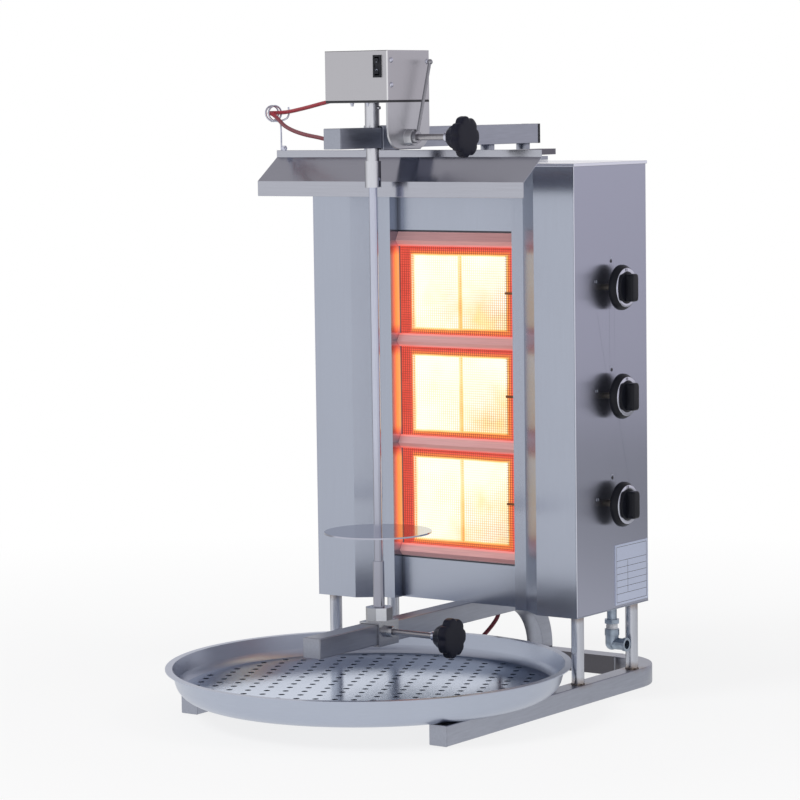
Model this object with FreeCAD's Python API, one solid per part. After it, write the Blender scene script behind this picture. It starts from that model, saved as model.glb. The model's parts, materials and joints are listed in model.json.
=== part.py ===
import FreeCAD, Part
import math
import os

# Gas doner kebab grill for a counter: a steel cabinet with three ceramic burners, a turning
# spit in front of it, a motor head on a top arm, and a round drip pan that stands on the base.
# Millimetres, +Z up. The model is drawn with X = 0 on the middle plane and Y = 0 on the
# cabinet's front face. place() then moves it along Y so that its box is centred on the origin.

# Sheet and tube stock
SHEET = 1.2
TUBE = 25.0
TUBE_WALL = 2.0
CAP = 1.5
FIT_GAP = 0.3
RUNNING_GAP = 0.05

# Cabinet
CABINET_WIDTH = 400.0
CABINET_DEPTH = 170.0
CABINET_HEIGHT = 563.0
LEG_HEIGHT = 85.5
LEG_DIAMETER = 16.0
LEG_WALL = 1.5
LEG_FRONT_Y = 20.0
LEG_REAR_Y = 149.0
FRONT_FLAT = 59.5
STEP_RUN = 30.0
STEP_DEPTH = 22.0
STRIP_WIDTH = 17.0
RECESS_DEPTH = 40.0
FLANGE = 12.0
LID_LIP = 2.8
VENT_COUNT = 9
VENT_LENGTH = 90.0
VENT_WIDTH = 6.0
VENT_PITCH = 14.0
VENT_DROP = 60.0
BACK_SCREW_HEAD = (7.0, 4.5)
BACK_SCREW_RISE = 2.0
BACK_SCREW_SHARES = (0.06, 0.5, 0.94)
LABEL_SIZE = (78.4, 76.6)
LABEL_THICK = 0.6
LABEL_REAR_GAP = 2.0
LABEL_BOTTOM_GAP = 4.5

# Base and lower arm
BASE_BEND = 77.0
BASE_FRONT_Y = -287.0
BASE_REAR_Y = 234.5
ARM_BEND = 83.0
LOWER_ARM_FRONT_Y = -282.0

# Burners, counted from the bottom
BURNER_WINDOWS = ((181.1, 305.4), (322.6, 437.3), (454.1, 566.8))
LOW_BAR_BOTTOM = 165.2
TOP_BAR_TOP = 585.1
BAR_RISE = 6.0
WINDOW_LEFT_GAP = 2.5
WINDOW_RIGHT_GAP = 5.5
BURNER_DEPTH = 34.0
TILE_THICK = 13.0
TILE_LEFT_GAP = 16.0
TILE_RIGHT_GAP = 16.5
TILE_TOP_MARGIN = 9.5
TILE_FOOT_MARGIN = 5.0
TILE_SPLIT = 1.5
TILE_SETBACK = 5.0
GUARD_COLUMN_COUNT = 20
GUARD_ROW_COUNT = 11
GUARD_WIRE = 1.6
GUARD_THICK = 0.8
VENTURI_DIAMETER = 22.0
VENTURI_WALL = 1.5
VENTURI_LENGTH = 52.0
VENTURI_RISE = 4.0
PROBE_DIAMETER = 3.2
PROBE_REACH = 20.0
PROBE_STANDOFF = 3.0
PROBE_DROP = 1.0

# Gas supply and taps
KNOB_Y = 86.5
KNOB_HEIGHTS = (245.4, 381.4, 517.5)
KNOB_GAP = 14.5
KNOB_DIAMETER = 56.7
KNOB_FACE = 50.0
KNOB_SKIRT = 7.5
KNOB_EDGE = 2.5
KNOB_DRUM = 33.0
KNOB_DRUM_RISE = 2.5
KNOB_GRIP = 13.0
KNOB_GRIP_WIDTH = 17.0
KNOB_GRIP_LENGTH = 34.5
KNOB_GRIP_ROUND = 4.0
KNOB_BORE = 12.0
KNOB_PUSH = 2.5
STEM_DIAMETER = 8.0
PANEL_HOLE = 12.0
VALVE_SIZE = (24.0, 22.0, 28.0)
VALVE_NECK = 16.0
VALVE_SPIGOT = 14.0
VALVE_PANEL_GAP = 6.8
MANIFOLD = 16.0
MANIFOLD_WALL = 1.5
MANIFOLD_FOOT = 10.0
MANIFOLD_ABOVE = 6.0
INLET_X = 170.7
INLET_Y = 128.6
INLET_BORE = 8.0
NIPPLE_DIAMETER = 12.5
NIPPLE_RING = 18.0
NIPPLE_RING_HEIGHT = 2.0
NUT_DROP = 20.4
NUT_FLATS = 18.0
NUT_HEIGHT = 5.0
TAPE_DIAMETER = 14.0
TAPE_HEIGHT = 7.4
ELBOW_DIAMETER = 17.0
ELBOW_BAND = 18.6
ELBOW_BAND_HEIGHT = 8.0
ELBOW_DROP = 10.2
ELBOW_REACH = 22.3
ELBOW_OUTLET = 15.0
ELBOW_LIP = 17.5
ELBOW_LIP_LENGTH = 4.0
MOUTH_DEPTH = 10.0
MOUTH_RADIUS = 5.72
PIPE_DIAMETER = 8.0
PIPE_BEND = 10.0
INJECTOR = 16.0
INJECTOR_SIDE_GAP = 45.0
INJECTOR_Y = 66.0
NOZZLE = (10.0, 5.0)
NOZZLE_REACH = 6.0

# Top arm and its saddle
UPPER_ARM_FRONT_Y = -225.0
UPPER_ARM_REAR_Y = 215.0
UPPER_ARM_LIFT = 22.0
SADDLE = (60.0, 5.0)
SADDLE_FRONT_Y = 90.0
SADDLE_REAR_Y = 206.0
POST_DIAMETER = 18.0
POST_PLACES = (109.5, 192.7)
SADDLE_BOLT_FLATS = 10.0
SADDLE_BOLT_HEIGHT = 4.0
SADDLE_BOLT_INSET = 9.0
SADDLE_BOLT_PLACES = (99.0, 158.0)
ARM_SLOT_GAP = 1.0
LEAD_HOLE_Y = -205.0
LEAD_HOLE_GAP = 2.0
LEAD_HOLE_DROP = 2.0

# Hood
HOOD_WIDTH = 402.0
HOOD_FLANGE_Y = -73.5
HOOD_TOP = 692.0
HOOD_FLANGE = 9.0
HOOD_DROP = 29.0
HOOD_LIP_Y = -114.0
HOOD_LIP = 19.0
STRAP_X = 120.0
STRAP_WIDTH = 24.0
STRAP_THICK = 7.2
STRAP_DROP = 1.3
STRAP_REAR_Y = 66.0
SPACER_DIAMETER = 14.0
SPACER_PLACES = (10.0, 30.0)

# Spit and its carriages
SPIT_Y = -142.0
SPIT_DIAMETER = 10.3
SPIT_TOP = 676.0
SPIT_COLLAR = 14.2
SPIT_COLLAR_TOP = 186.7
SPIT_PIVOT = 9.0
SPIT_PIVOT_LENGTH = 13.0
SPIT_POINT = 8.0
SPIT_TIP = 4.0
DISC_DIAMETER = 133.0
DISC_THICK = 2.0
DISC_Z = 222.0
DISC_HUB = 16.0
DISC_HUB_HEIGHT = 6.0
TRAVEL_FORWARD = 55.0
TRAVEL_BACK = 14.0
SLEEVE_WALL = 2.2
LOWER_SLEEVE_FRONT = 21.0
LOWER_SLEEVE_REAR = 20.0
BEARING_FLATS = 31.5
BEARING_HEIGHT = 16.5
UPPER_SLEEVE_FRONT_Y = -139.5
UPPER_SLEEVE_REAR_Y = -60.0

# Motor head
HEAD_WIDTH = 93.6
HEAD_FRONT_Y = -174.0
HEAD_REAR_Y = -86.5
HEAD_HEIGHT = 60.1
HEAD_FLOOR_LIFT = 30.1
BRACKET_THICK = 3.0
CHEEK_DROP = 56.2
CHEEK_ROUND = 24.0
SPACER_BLOCK = (-125.0, -95.0, 22.0)
GEARBOX = (50.0, 62.0, 28.0)
GEARBOX_FRONT = 22.0
GEARBOX_LID = 4.0
MOTOR_DIAMETER = 50.0
MOTOR_HEIGHT = 22.0
MOTOR_INSET = 2.0
COVER_SCREW_HEAD = (6.0, 3.5)
COVER_SCREW_RISE = 1.8
OUTPUT_SHAFT = 8.0
DRIVE_DIAMETER = 18.0
DRIVE_NECK = 16.0
DRIVE_SOCKET = 20.0
DRIVE_BOTTOM = 647.7
DRIVE_SOCKET_TOP = 680.0
DRIVE_BORE = 11.3
DRIVE_SCREW = 4.0
DRIVE_SCREW_REACH = 3.0
DRIVE_SCREW_LIFT = 24.0
BRACKET_HOLE_GAP = 2.0
SLEEVE_NOTCH_GAP = 1.5
BAYONET_PIN = 4.0
BAYONET_SLOT = 5.0
BAYONET_PIN_Z = 658.0
ROCKER_X = 32.2
ROCKER_Z = 794.5
ROCKER_SIZE = (11.6, 27.0)
BEZEL = 1.6
SWITCH_WINDOW_INSET = 1.0
SWITCH_WALL = 2.4
SWITCH_DEPTH = 16.0
SWITCH_HOLLOW = 12.0
SWITCH_PIN = 2.0
SWITCH_PIN_LENGTH = 1.5
SWITCH_PIN_DEPTH = 5.0
ROCKER_PROUD = 3.0
ROCKER_DISH = 0.8
ROCKER_END_GAP = 1.7
ROCKER_TAPER = 2.0
ROCKER_KEEL = 3.0
CLAMP_Y = -132.0
CLAMP_Z = 708.5
CLAMP_BOSS = 20.0
CLAMP_BOSS_LENGTH = 10.0
LEVER_COLLAR = 15.0
LEVER_COLLAR_LENGTH = 4.7
LEVER_LENGTH = 95.5
LEVER_ROD = 4.0
LEVER_BALL = 7.0
LEVER_LEAN = 18.0
COVER_SCREWS = ((-166.0, 801.8), (-166.0, 772.2), (-90.5, 800.0))

# Star knobs
STAR_DIAMETER = 50.0
STAR_THICK = 15.5
STAR_LOBES = 7
STAR_NOTCH = 5.0
STAR_NOTCH_SHARE = 0.45
STAR_HUB = (12.0, 34.0)
STAR_HUB_LENGTH = 12.5
STAR_FERRULE = 10.5
STAR_FERRULE_LENGTH = 5.5
SCREW_DIAMETER = 8.0
UPPER_STAR_X = 119.5
LOWER_STAR_X = 99.0
LOWER_SCREW_Y = -143.0
LOWER_SCREW_Z = 100.0
LUG = 14.0
LUG_LENGTH = 8.0

# Pan and its sieve plate
PAN_Y = -165.5
PAN_RADIUS = 250.9
PAN_HEIGHT = 36.8
PAN_RIM = 9.1
PAN_CORNER = 24.0
PAN_TILT = 15.0
PLATE_LIFT = 8.5
PLATE_THICK = 1.0
PLATE_HOLE = 8.0
PLATE_PITCH = 23.7
PLATE_TURN = 25.0
PLATE_EDGE = 9.0

# Mains lead: wire, route in the cabinet's frame, and the coil that it ends in
LEAD = 5.5
GLAND_X = -23.0
GLAND_Y = 160.0
GLAND_FLATS = 16.0
GLAND_NUT_HEIGHT = 7.0
GLAND_TAPER = (8.5, 13.0)
GLAND_SOCKET = 1.0
MAINS_ROUTE = [(-23.0, 160.0, 88.0), (-23.0, 160.0, 76.0), (-29.0, 153.0, 62.0), (-38.5, 143.0, 47.0),
               (-53.0, 130.0, 29.5), (-70.0, 116.5, 12.0), (-88.0, 107.7, 2.75), (-110.0, 107.3, 2.75)]
COIL_TURNS = 3
COIL_MEAN_RADIUS = 33.0
COIL_PITCH = 6.4
COIL_LAYER_GAP = 0.5
COIL_CENTRE_Y = 149.7
PLUG_SIZE = (36.0, 26.0, 16.4)
PLUG_RELIEF = 22.0
PLUG_RELIEF_END = 11.0
PLUG_PIN = 4.8
PLUG_PIN_LENGTH = 19.0
PLUG_PIN_SPACING = 19.0

# Motor lead: from the head, folded back through the wire guide, into the top arm
MOTOR_LEAD = 5.0
MOTOR_ROUTE = [(-47.3, -132.0, 756.0), (-62.0, -129.5, 755.0), (-90.0, -118.5, 751.5),
               (-125.0, -103.5, 746.5), (-158.0, -88.0, 742.5), (-180.0, -76.5, 740.4),
               (-196.0, -68.8, 739.7), (-212.7, -60.8, 739.5), (-216.9, -69.7, 739.4),
               (-204.0, -76.3, 738.3), (-187.0, -86.0, 731.0), (-163.0, -106.0, 723.0),
               (-128.0, -132.0, 716.8), (-88.0, -160.0, 712.2), (-52.0, -184.0, 709.8),
               (-29.0, -199.5, 707.6), (-12.7, -205.0, 706.0)]
GUIDE_WIRE = 2.3
GUIDE_LOOP = 9.7
GUIDE_PITCH = 9.7
GUIDE_TURNS = 2
GUIDE_FOOT = (-195.0, 684.0)
GUIDE_CENTRE = (-209.3, -67.8, 738.7)
GUIDE_HEADING = 149.9
GUIDE_STEM = 30.0

# Places worked out from the sizes above
half = CABINET_WIDTH / 2
cab_bottom = TUBE + LEG_HEIGHT
cab_top = cab_bottom + CABINET_HEIGHT
wall_bottom = cab_bottom + SHEET
wall_top = cab_top - SHEET
flat_end = half - FRONT_FLAT
step_end = flat_end - STEP_RUN
recess_half = step_end - STRIP_WIDTH
burner_left = -recess_half + WINDOW_LEFT_GAP
burner_right = recess_half - WINDOW_RIGHT_GAP
tile_left = burner_left + TILE_LEFT_GAP
tile_right = burner_right - TILE_RIGHT_GAP
injector_x = half - INJECTOR_SIDE_GAP
tap_face = half - SHEET - VALVE_PANEL_GAP
knob_back = half + KNOB_GAP
leg_x = half - TUBE / 2
arm_top = cab_bottom
arm_bottom = arm_top - TUBE
upper_bottom = cab_top + UPPER_ARM_LIFT
upper_top = upper_bottom + TUBE
sleeve_half = TUBE / 2 + FIT_GAP + SLEEVE_WALL
head_floor = upper_top + HEAD_FLOOR_LIFT
head_bottom = head_floor + BRACKET_THICK
head_top = head_bottom + HEAD_HEIGHT
bearing_top = arm_top + FIT_GAP + SLEEVE_WALL + BEARING_HEIGHT
pan_front = PAN_Y - PAN_RADIUS
shift_y = -(pan_front + BASE_REAR_Y) / 2


def box(x0, x1, y0, y1, z0, z1):
    return Part.makeBox(x1 - x0, y1 - y0, z1 - z0, FreeCAD.Vector(x0, y0, z0))


def rod(diameter, start, end):
    start = FreeCAD.Vector(*start)
    span = FreeCAD.Vector(*end) - start
    return Part.makeCylinder(diameter / 2, span.Length, start, span)


def cone(diameter0, diameter1, start, end):
    start = FreeCAD.Vector(*start)
    span = FreeCAD.Vector(*end) - start
    return Part.makeCone(diameter0 / 2, diameter1 / 2, span.Length, start, span)


def prism(flats, x, y, z0, z1, sides=6, turn=0.0):
    """An upright regular prism. turn is its first corner's place, in parts of a side."""
    step = 2 * math.pi / sides
    radius = flats / 2 / math.cos(step / 2)
    corners = [FreeCAD.Vector(x + radius * math.cos(step * (i + turn)),
                              y + radius * math.sin(step * (i + turn)), z0) for i in range(sides + 1)]
    return Part.Face(Part.makePolygon(corners)).extrude(FreeCAD.Vector(0, 0, z1 - z0))


def square_ring(outer, wall):
    """A square tube's section in the XZ plane, centred on the origin."""
    half_out = outer / 2
    half_in = outer / 2 - wall
    solid = box(-half_out, half_out, 0, 1, -half_out, half_out)
    hollow = box(-half_in, half_in, 0, 1, -half_in, half_in)
    return [face for face in solid.cut(hollow).Faces if face.CenterOfMass.y < 0.1][0]


def square_tube(x, y0, y1, z_bottom, outer=TUBE, wall=TUBE_WALL):
    inset = outer / 2 - wall
    z_mid = z_bottom + outer / 2
    solid = box(x - outer / 2, x + outer / 2, y0, y1, z_bottom, z_bottom + outer)
    return solid.cut(box(x - inset, x + inset, y0, y1, z_mid - inset, z_mid + inset))


def offset_path(points, distance):
    """The mitred path beside a path of (u, v) points, to its left for a positive distance."""
    normals = []
    for (u0, v0), (u1, v1) in zip(points, points[1:]):
        length = math.hypot(u1 - u0, v1 - v0)
        normals.append((-(v1 - v0) / length, (u1 - u0) / length))
    result = []
    for i, (u, v) in enumerate(points):
        before = normals[max(i - 1, 0)]
        after = normals[min(i, len(normals) - 1)]
        scale = distance / (1 + before[0] * after[0] + before[1] * after[1])
        result.append((u + (before[0] + after[0]) * scale, v + (before[1] + after[1]) * scale))
    return result


def folded(points, thickness, to_vector, sweep):
    """Sheet folded along a path: to_vector turns (u, v) into a place, sweep is its width."""
    outline = points + offset_path(points, thickness)[::-1]
    corners = [to_vector(u, v) for u, v in outline]
    return Part.Face(Part.makePolygon(corners + corners[:1])).extrude(sweep)


def mirrored(shape):
    return shape.mirror(FreeCAD.Vector(0, 0, 0), FreeCAD.Vector(1, 0, 0))


def group(solids):
    return Part.makeCompound(solids)


def arc_through(start, tangent, end):
    """The circular arc from start to end that leaves start along tangent."""
    chord = end - start
    middle_way = FreeCAD.Vector(chord).normalize() + FreeCAD.Vector(tangent).normalize()
    side = chord.cross(tangent)
    if side.Length < 1e-6 * chord.Length:
        return Part.LineSegment(start, end).toShape()
    inward = chord.cross(side).normalize()
    bulge = -inward if inward.dot(tangent) < 0 else inward
    turn = tangent.getAngle(chord)
    height = chord.Length / 2 * math.tan(turn / 2)
    middle = start + chord * 0.5
    candidates = [middle + bulge * height, middle - bulge * height]
    best = max(candidates, key=lambda spot: (spot - start).normalize().dot(middle_way))
    return Part.Arc(start, best, end).toShape()


def biarc(start, tangent0, end, tangent1):
    """Two arcs from start to end that leave and arrive along the two tangents."""
    tangent0 = FreeCAD.Vector(tangent0).normalize()
    tangent1 = FreeCAD.Vector(tangent1).normalize()
    chord = end - start
    both = tangent0 + tangent1
    a = 2 * (1 - tangent0.dot(tangent1))
    b = 2 * chord.dot(both)
    c = -chord.dot(chord)
    if abs(a) < 1e-9:
        reach = -c / b
    else:
        reach = (-b + math.sqrt(b * b - 4 * a * c)) / (2 * a)
    joint = (start + tangent0 * reach + end - tangent1 * reach) * 0.5
    way = (end - tangent1 * reach - start - tangent0 * reach).normalize()
    return [arc_through(start, tangent0, joint), arc_through(joint, way, end)]


def pipe(edges, diameter):
    """A solid round wire along edges that are joined tangent to tangent."""
    path = Part.Wire(edges)
    first = edges[0]
    start = first.valueAt(first.FirstParameter)
    tangent = first.tangentAt(first.FirstParameter)
    section = Part.Wire(Part.makeCircle(diameter / 2, start, tangent))
    shell = Part.BRepOffsetAPI.MakePipeShell(path)
    shell.add(section)
    shell.build()
    shell.makeSolid()
    return shell.shape()


def cord_edges(points):
    """Straight runs joined by arcs, each as large as its two runs allow, and the radii."""
    points = [FreeCAD.Vector(*point) for point in points]
    edges = []
    radii = []
    last = points[0]
    for before, corner, after in zip(points, points[1:], points[2:]):
        into = FreeCAD.Vector(corner - before)
        out = FreeCAD.Vector(after - corner)
        turn = into.getAngle(out)
        shorter = min(into.Length, out.Length)
        trim = 0.45 * shorter
        start = corner - into.normalize() * trim
        end = corner + out.normalize() * trim
        edges.append(Part.LineSegment(last, start).toShape())
        edges.append(arc_through(start, FreeCAD.Vector(into), end))
        radii.append(trim / math.tan(turn / 2))
        last = end
    edges.append(Part.LineSegment(last, points[-1]).toShape())
    return edges, radii


def cord(name, points, diameter):
    edges, radii = cord_edges(points)
    solid = pipe(edges, diameter)
    length = sum(edge.Length for edge in edges)
    share = solid.Volume / (math.pi * diameter ** 2 / 4 * length)
    print(name, "length", round(length, 1), "radii", [round(radius, 1) for radius in radii])
    print(name, "volume over section times length", round(share, 4))
    return solid


def self_gap(edges, diameter):
    """The least gap of a wound wire to itself, measured between points along it."""
    spots = []
    for edge in edges:
        steps = max(2, int(edge.Length / 2))
        spots += edge.discretize(steps + 1)[:-1]
    spacing = sum(edge.Length for edge in edges) / len(spots)
    apart = int(4 * diameter / spacing)
    least = min((spots[i] - spots[j]).Length
                for i in range(len(spots)) for j in range(i + apart, len(spots)))
    return least - diameter


# Base

def base_rail():
    """The right side of the base: a straight tube and the quarter bend behind it."""
    bend_y = BASE_REAR_Y - BASE_BEND
    straight = square_tube(half - TUBE / 2, BASE_FRONT_Y + CAP, bend_y, 0)
    section = square_ring(TUBE, TUBE_WALL)
    section.translate(FreeCAD.Vector(half - TUBE / 2, bend_y, TUBE / 2))
    bend = section.revolve(FreeCAD.Vector(half - BASE_BEND, bend_y, 0), FreeCAD.Vector(0, 0, 1), 90)
    return straight.fuse(bend).removeSplitter()


def base_cross():
    reach = half - BASE_BEND
    tube = square_tube(0, -reach, reach, 0)
    tube.rotate(FreeCAD.Vector(0, 0, 0), FreeCAD.Vector(0, 0, 1), 90)
    tube.translate(FreeCAD.Vector(0, BASE_REAR_Y - TUBE / 2, 0))
    return tube


def legs():
    solids = []
    for x in (-leg_x, leg_x):
        for y in (LEG_FRONT_Y, LEG_REAR_Y):
            outer = rod(LEG_DIAMETER, (x, y, TUBE), (x, y, cab_bottom))
            solids.append(outer.cut(rod(LEG_DIAMETER - 2 * LEG_WALL, (x, y, TUBE), (x, y, cab_bottom))))
    return group(solids)


def lower_arm():
    """The low arm: straight under the cabinet, then bent down onto the rear tube."""
    bend_y = BASE_REAR_Y - ARM_BEND
    bend_z = arm_top - ARM_BEND
    straight = square_tube(0, LOWER_ARM_FRONT_Y + CAP, bend_y, arm_bottom)
    section = square_ring(TUBE, TUBE_WALL)
    section.translate(FreeCAD.Vector(0, bend_y, arm_top - TUBE / 2))
    bend = section.revolve(FreeCAD.Vector(0, bend_y, bend_z), FreeCAD.Vector(-1, 0, 0), 90)
    foot = square_tube(0, 0, bend_z - TUBE, 0)
    foot.rotate(FreeCAD.Vector(0, 0, 0), FreeCAD.Vector(1, 0, 0), 90)
    foot.translate(FreeCAD.Vector(0, BASE_REAR_Y, TUBE))
    return straight.fuse([bend, foot]).removeSplitter()


def tube_caps():
    """Closed steel ends: both base rails, the low arm and the front of the top arm."""
    def cap(x, y, z):
        return box(x - TUBE / 2, x + TUBE / 2, y, y + CAP, z, z + TUBE)
    return group([cap(-leg_x, BASE_FRONT_Y, 0), cap(leg_x, BASE_FRONT_Y, 0),
                  cap(0, LOWER_ARM_FRONT_Y, arm_bottom), cap(0, UPPER_ARM_FRONT_Y, upper_bottom)])


# Cabinet

def front_outline():
    """The front of the cabinet from its right corner to the fold behind the recess's wall."""
    return [(half - SHEET, 0), (flat_end, 0), (step_end, STEP_DEPTH), (recess_half, STEP_DEPTH),
            (recess_half, RECESS_DEPTH), (recess_half + FLANGE, RECESS_DEPTH)]


def front_panel():
    return folded(front_outline(), -SHEET, lambda x, y: FreeCAD.Vector(x, y, wall_bottom),
                  FreeCAD.Vector(0, 0, wall_top - wall_bottom))


def side_panel():
    """The right side with its rear flange, which the back panel is screwed to."""
    panel = box(half - SHEET, half, 0, CABINET_DEPTH, wall_bottom, wall_top)
    flange_y = CABINET_DEPTH - 2 * SHEET
    flange = box(half - SHEET - FLANGE, half - SHEET, flange_y, flange_y + SHEET, wall_bottom, wall_top)
    return panel.fuse(flange).removeSplitter()


def right_side_panel():
    panel = side_panel()
    for z in KNOB_HEIGHTS:
        panel = panel.cut(rod(PANEL_HOLE, (half - 2 * SHEET, KNOB_Y, z), (half + SHEET, KNOB_Y, z)))
    return panel


def back_panel():
    panel = box(-half + SHEET, half - SHEET, CABINET_DEPTH - SHEET, CABINET_DEPTH, wall_bottom, wall_top)
    for side in (-1, 1):
        for i in range(VENT_COUNT):
            z = wall_top - VENT_DROP - i * VENT_PITCH
            x = side * half / 2
            panel = panel.cut(box(x - VENT_LENGTH / 2, x + VENT_LENGTH / 2, CABINET_DEPTH - 2 * SHEET,
                                  CABINET_DEPTH + SHEET, z - VENT_WIDTH / 2, z + VENT_WIDTH / 2))
    return panel


def back_screws():
    solids = []
    for side in (-1, 1):
        x = side * (half - SHEET - FLANGE / 2)
        for share in BACK_SCREW_SHARES:
            z = cab_bottom + share * CABINET_HEIGHT
            solids.append(cone(*BACK_SCREW_HEAD, (x, CABINET_DEPTH, z),
                               (x, CABINET_DEPTH + BACK_SCREW_RISE, z)))
    return group(solids)


def floor_panel():
    """The floor: its edge follows the front, and it has the holes for the gas and the gland."""
    right = [(half, 0)] + front_outline()[1:5]
    corners = right + [(-x, y) for x, y in right[::-1]]
    corners += [(-half, CABINET_DEPTH), (half, CABINET_DEPTH)]
    wire = Part.makePolygon([FreeCAD.Vector(x, y, cab_bottom) for x, y in corners + corners[:1]])
    panel = Part.Face(wire).extrude(FreeCAD.Vector(0, 0, SHEET))
    below = cab_bottom - SHEET
    above = cab_bottom + 2 * SHEET
    gas_hole = NIPPLE_DIAMETER + 2 * RUNNING_GAP
    panel = panel.cut(rod(gas_hole, (INLET_X, INLET_Y, below), (INLET_X, INLET_Y, above)))
    return panel.cut(rod(LEAD, (GLAND_X, GLAND_Y, below), (GLAND_X, GLAND_Y, above)))


def top_lid():
    """The lid plate with a short lip turned down all round, a little outside the walls."""
    out = FIT_GAP + SHEET
    plate = box(-half - out, half + out, -out, CABINET_DEPTH + out, wall_top, cab_top)
    lip_bottom = wall_top - LID_LIP
    lip = box(-half - out, half + out, -out, CABINET_DEPTH + out, lip_bottom, wall_top)
    inside = box(-half - FIT_GAP, half + FIT_GAP, -FIT_GAP, CABINET_DEPTH + FIT_GAP, lip_bottom, wall_top)
    return plate.fuse(lip.cut(inside)).removeSplitter()


def label_plate():
    y1 = CABINET_DEPTH - LABEL_REAR_GAP
    z0 = cab_bottom + LABEL_BOTTOM_GAP
    return box(half, half + LABEL_THICK, y1 - LABEL_SIZE[0], y1, z0, z0 + LABEL_SIZE[1])


# Burners

def burner_fascia():
    reach = recess_half + FLANGE
    panel = box(-reach, reach, RECESS_DEPTH, RECESS_DEPTH + SHEET, wall_bottom, wall_top)
    for low, high in BURNER_WINDOWS:
        panel = panel.cut(box(burner_left, burner_right, RECESS_DEPTH - 1, RECESS_DEPTH + 2 * SHEET, low, high))
    return panel


def burner_bars():
    """Folded bars across the recess, above, between and below the burners."""
    edges = [(LOW_BAR_BOTTOM, BURNER_WINDOWS[0][0])]
    edges += [(low[1], high[0]) for low, high in zip(BURNER_WINDOWS, BURNER_WINDOWS[1:])]
    edges += [(BURNER_WINDOWS[-1][1], TOP_BAR_TOP)]
    bars = []
    reach = recess_half - FIT_GAP
    for low, high in edges:
        path = [(RECESS_DEPTH, high), (RECESS_DEPTH - BAR_RISE, low + (high - low) * 0.4), (RECESS_DEPTH, low)]
        corners = [FreeCAD.Vector(-reach, y, z) for y, z in path + path[:1]]
        bars.append(Part.Face(Part.makePolygon(corners)).extrude(FreeCAD.Vector(2 * reach, 0, 0)))
    return group(bars)


def burner_bodies():
    """Pressed casings behind the windows, each with a set-back rim that holds its tiles."""
    bodies = []
    y0 = RECESS_DEPTH + SHEET
    rim = y0 + TILE_SETBACK
    for (low, high), z in zip(BURNER_WINDOWS, KNOB_HEIGHTS):
        case = box(burner_left, burner_right, y0, y0 + BURNER_DEPTH, low, high)
        mouth = box(burner_left + SHEET, burner_right - SHEET, y0, rim, low + SHEET, high - SHEET)
        inside = box(burner_left + SHEET, burner_right - SHEET, rim + SHEET, y0 + BURNER_DEPTH - SHEET,
                     low + SHEET, high - SHEET)
        opening = box(tile_left, tile_right, rim, rim + 2 * SHEET,
                      low + TILE_FOOT_MARGIN, high - TILE_TOP_MARGIN)
        inlet_y = INJECTOR_Y - VENTURI_RISE
        inlet = rod(VENTURI_DIAMETER - 2 * VENTURI_WALL, (burner_right - 2 * SHEET, inlet_y, z),
                    (burner_right + SHEET, inlet_y, z))
        bodies.append(case.cut([mouth, inside, opening, inlet]))
    return group(bodies)


def burner_tiles():
    """Two ceramic tiles a burner, with a narrow joint between them, in the casing's rim."""
    tiles = []
    y0 = RECESS_DEPTH + SHEET + TILE_SETBACK
    split = (tile_left + tile_right) / 2
    for low, high in BURNER_WINDOWS:
        for x0, x1 in ((tile_left, split - TILE_SPLIT / 2), (split + TILE_SPLIT / 2, tile_right)):
            tiles.append(box(x0, x1, y0, y0 + TILE_THICK, low + TILE_FOOT_MARGIN, high - TILE_TOP_MARGIN))
    return group(tiles)


def burner_guards():
    """Wire guards in the windows, each one holed sheet as a plain stand-in for the gauze."""
    guards = []
    y = RECESS_DEPTH + SHEET
    column = (burner_right - burner_left - GUARD_WIRE) / GUARD_COLUMN_COUNT

    def frame(x0, z0, x1, z1):
        corners = ((x0, z0), (x1, z0), (x1, z1), (x0, z1), (x0, z0))
        return Part.makePolygon([FreeCAD.Vector(x, y, z) for x, z in corners])

    for low, high in BURNER_WINDOWS:
        row = (high - low - GUARD_WIRE) / GUARD_ROW_COUNT
        wires = [frame(burner_left, low, burner_right, high)]
        for i in range(GUARD_COLUMN_COUNT):
            for j in range(GUARD_ROW_COUNT):
                x0 = burner_left + GUARD_WIRE + i * column
                z0 = low + GUARD_WIRE + j * row
                x1 = x0 + column - GUARD_WIRE
                wires.append(frame(x1, z0, x0, z0 + row - GUARD_WIRE))
        guards.append(Part.Face(wires).extrude(FreeCAD.Vector(0, -GUARD_THICK, 0)))
    return group(guards)


def venturi_tubes():
    """Mixing tubes from the injectors into the burner bodies' right sides."""
    tubes = []
    y = INJECTOR_Y - VENTURI_RISE
    mouth = burner_right + VENTURI_LENGTH
    for z in KNOB_HEIGHTS:
        outer = rod(VENTURI_DIAMETER, (burner_right, y, z), (mouth, y, z))
        inner = rod(VENTURI_DIAMETER - 2 * VENTURI_WALL, (burner_right, y, z), (mouth, y, z))
        tubes.append(outer.cut(inner))
    return group(tubes)


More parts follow.
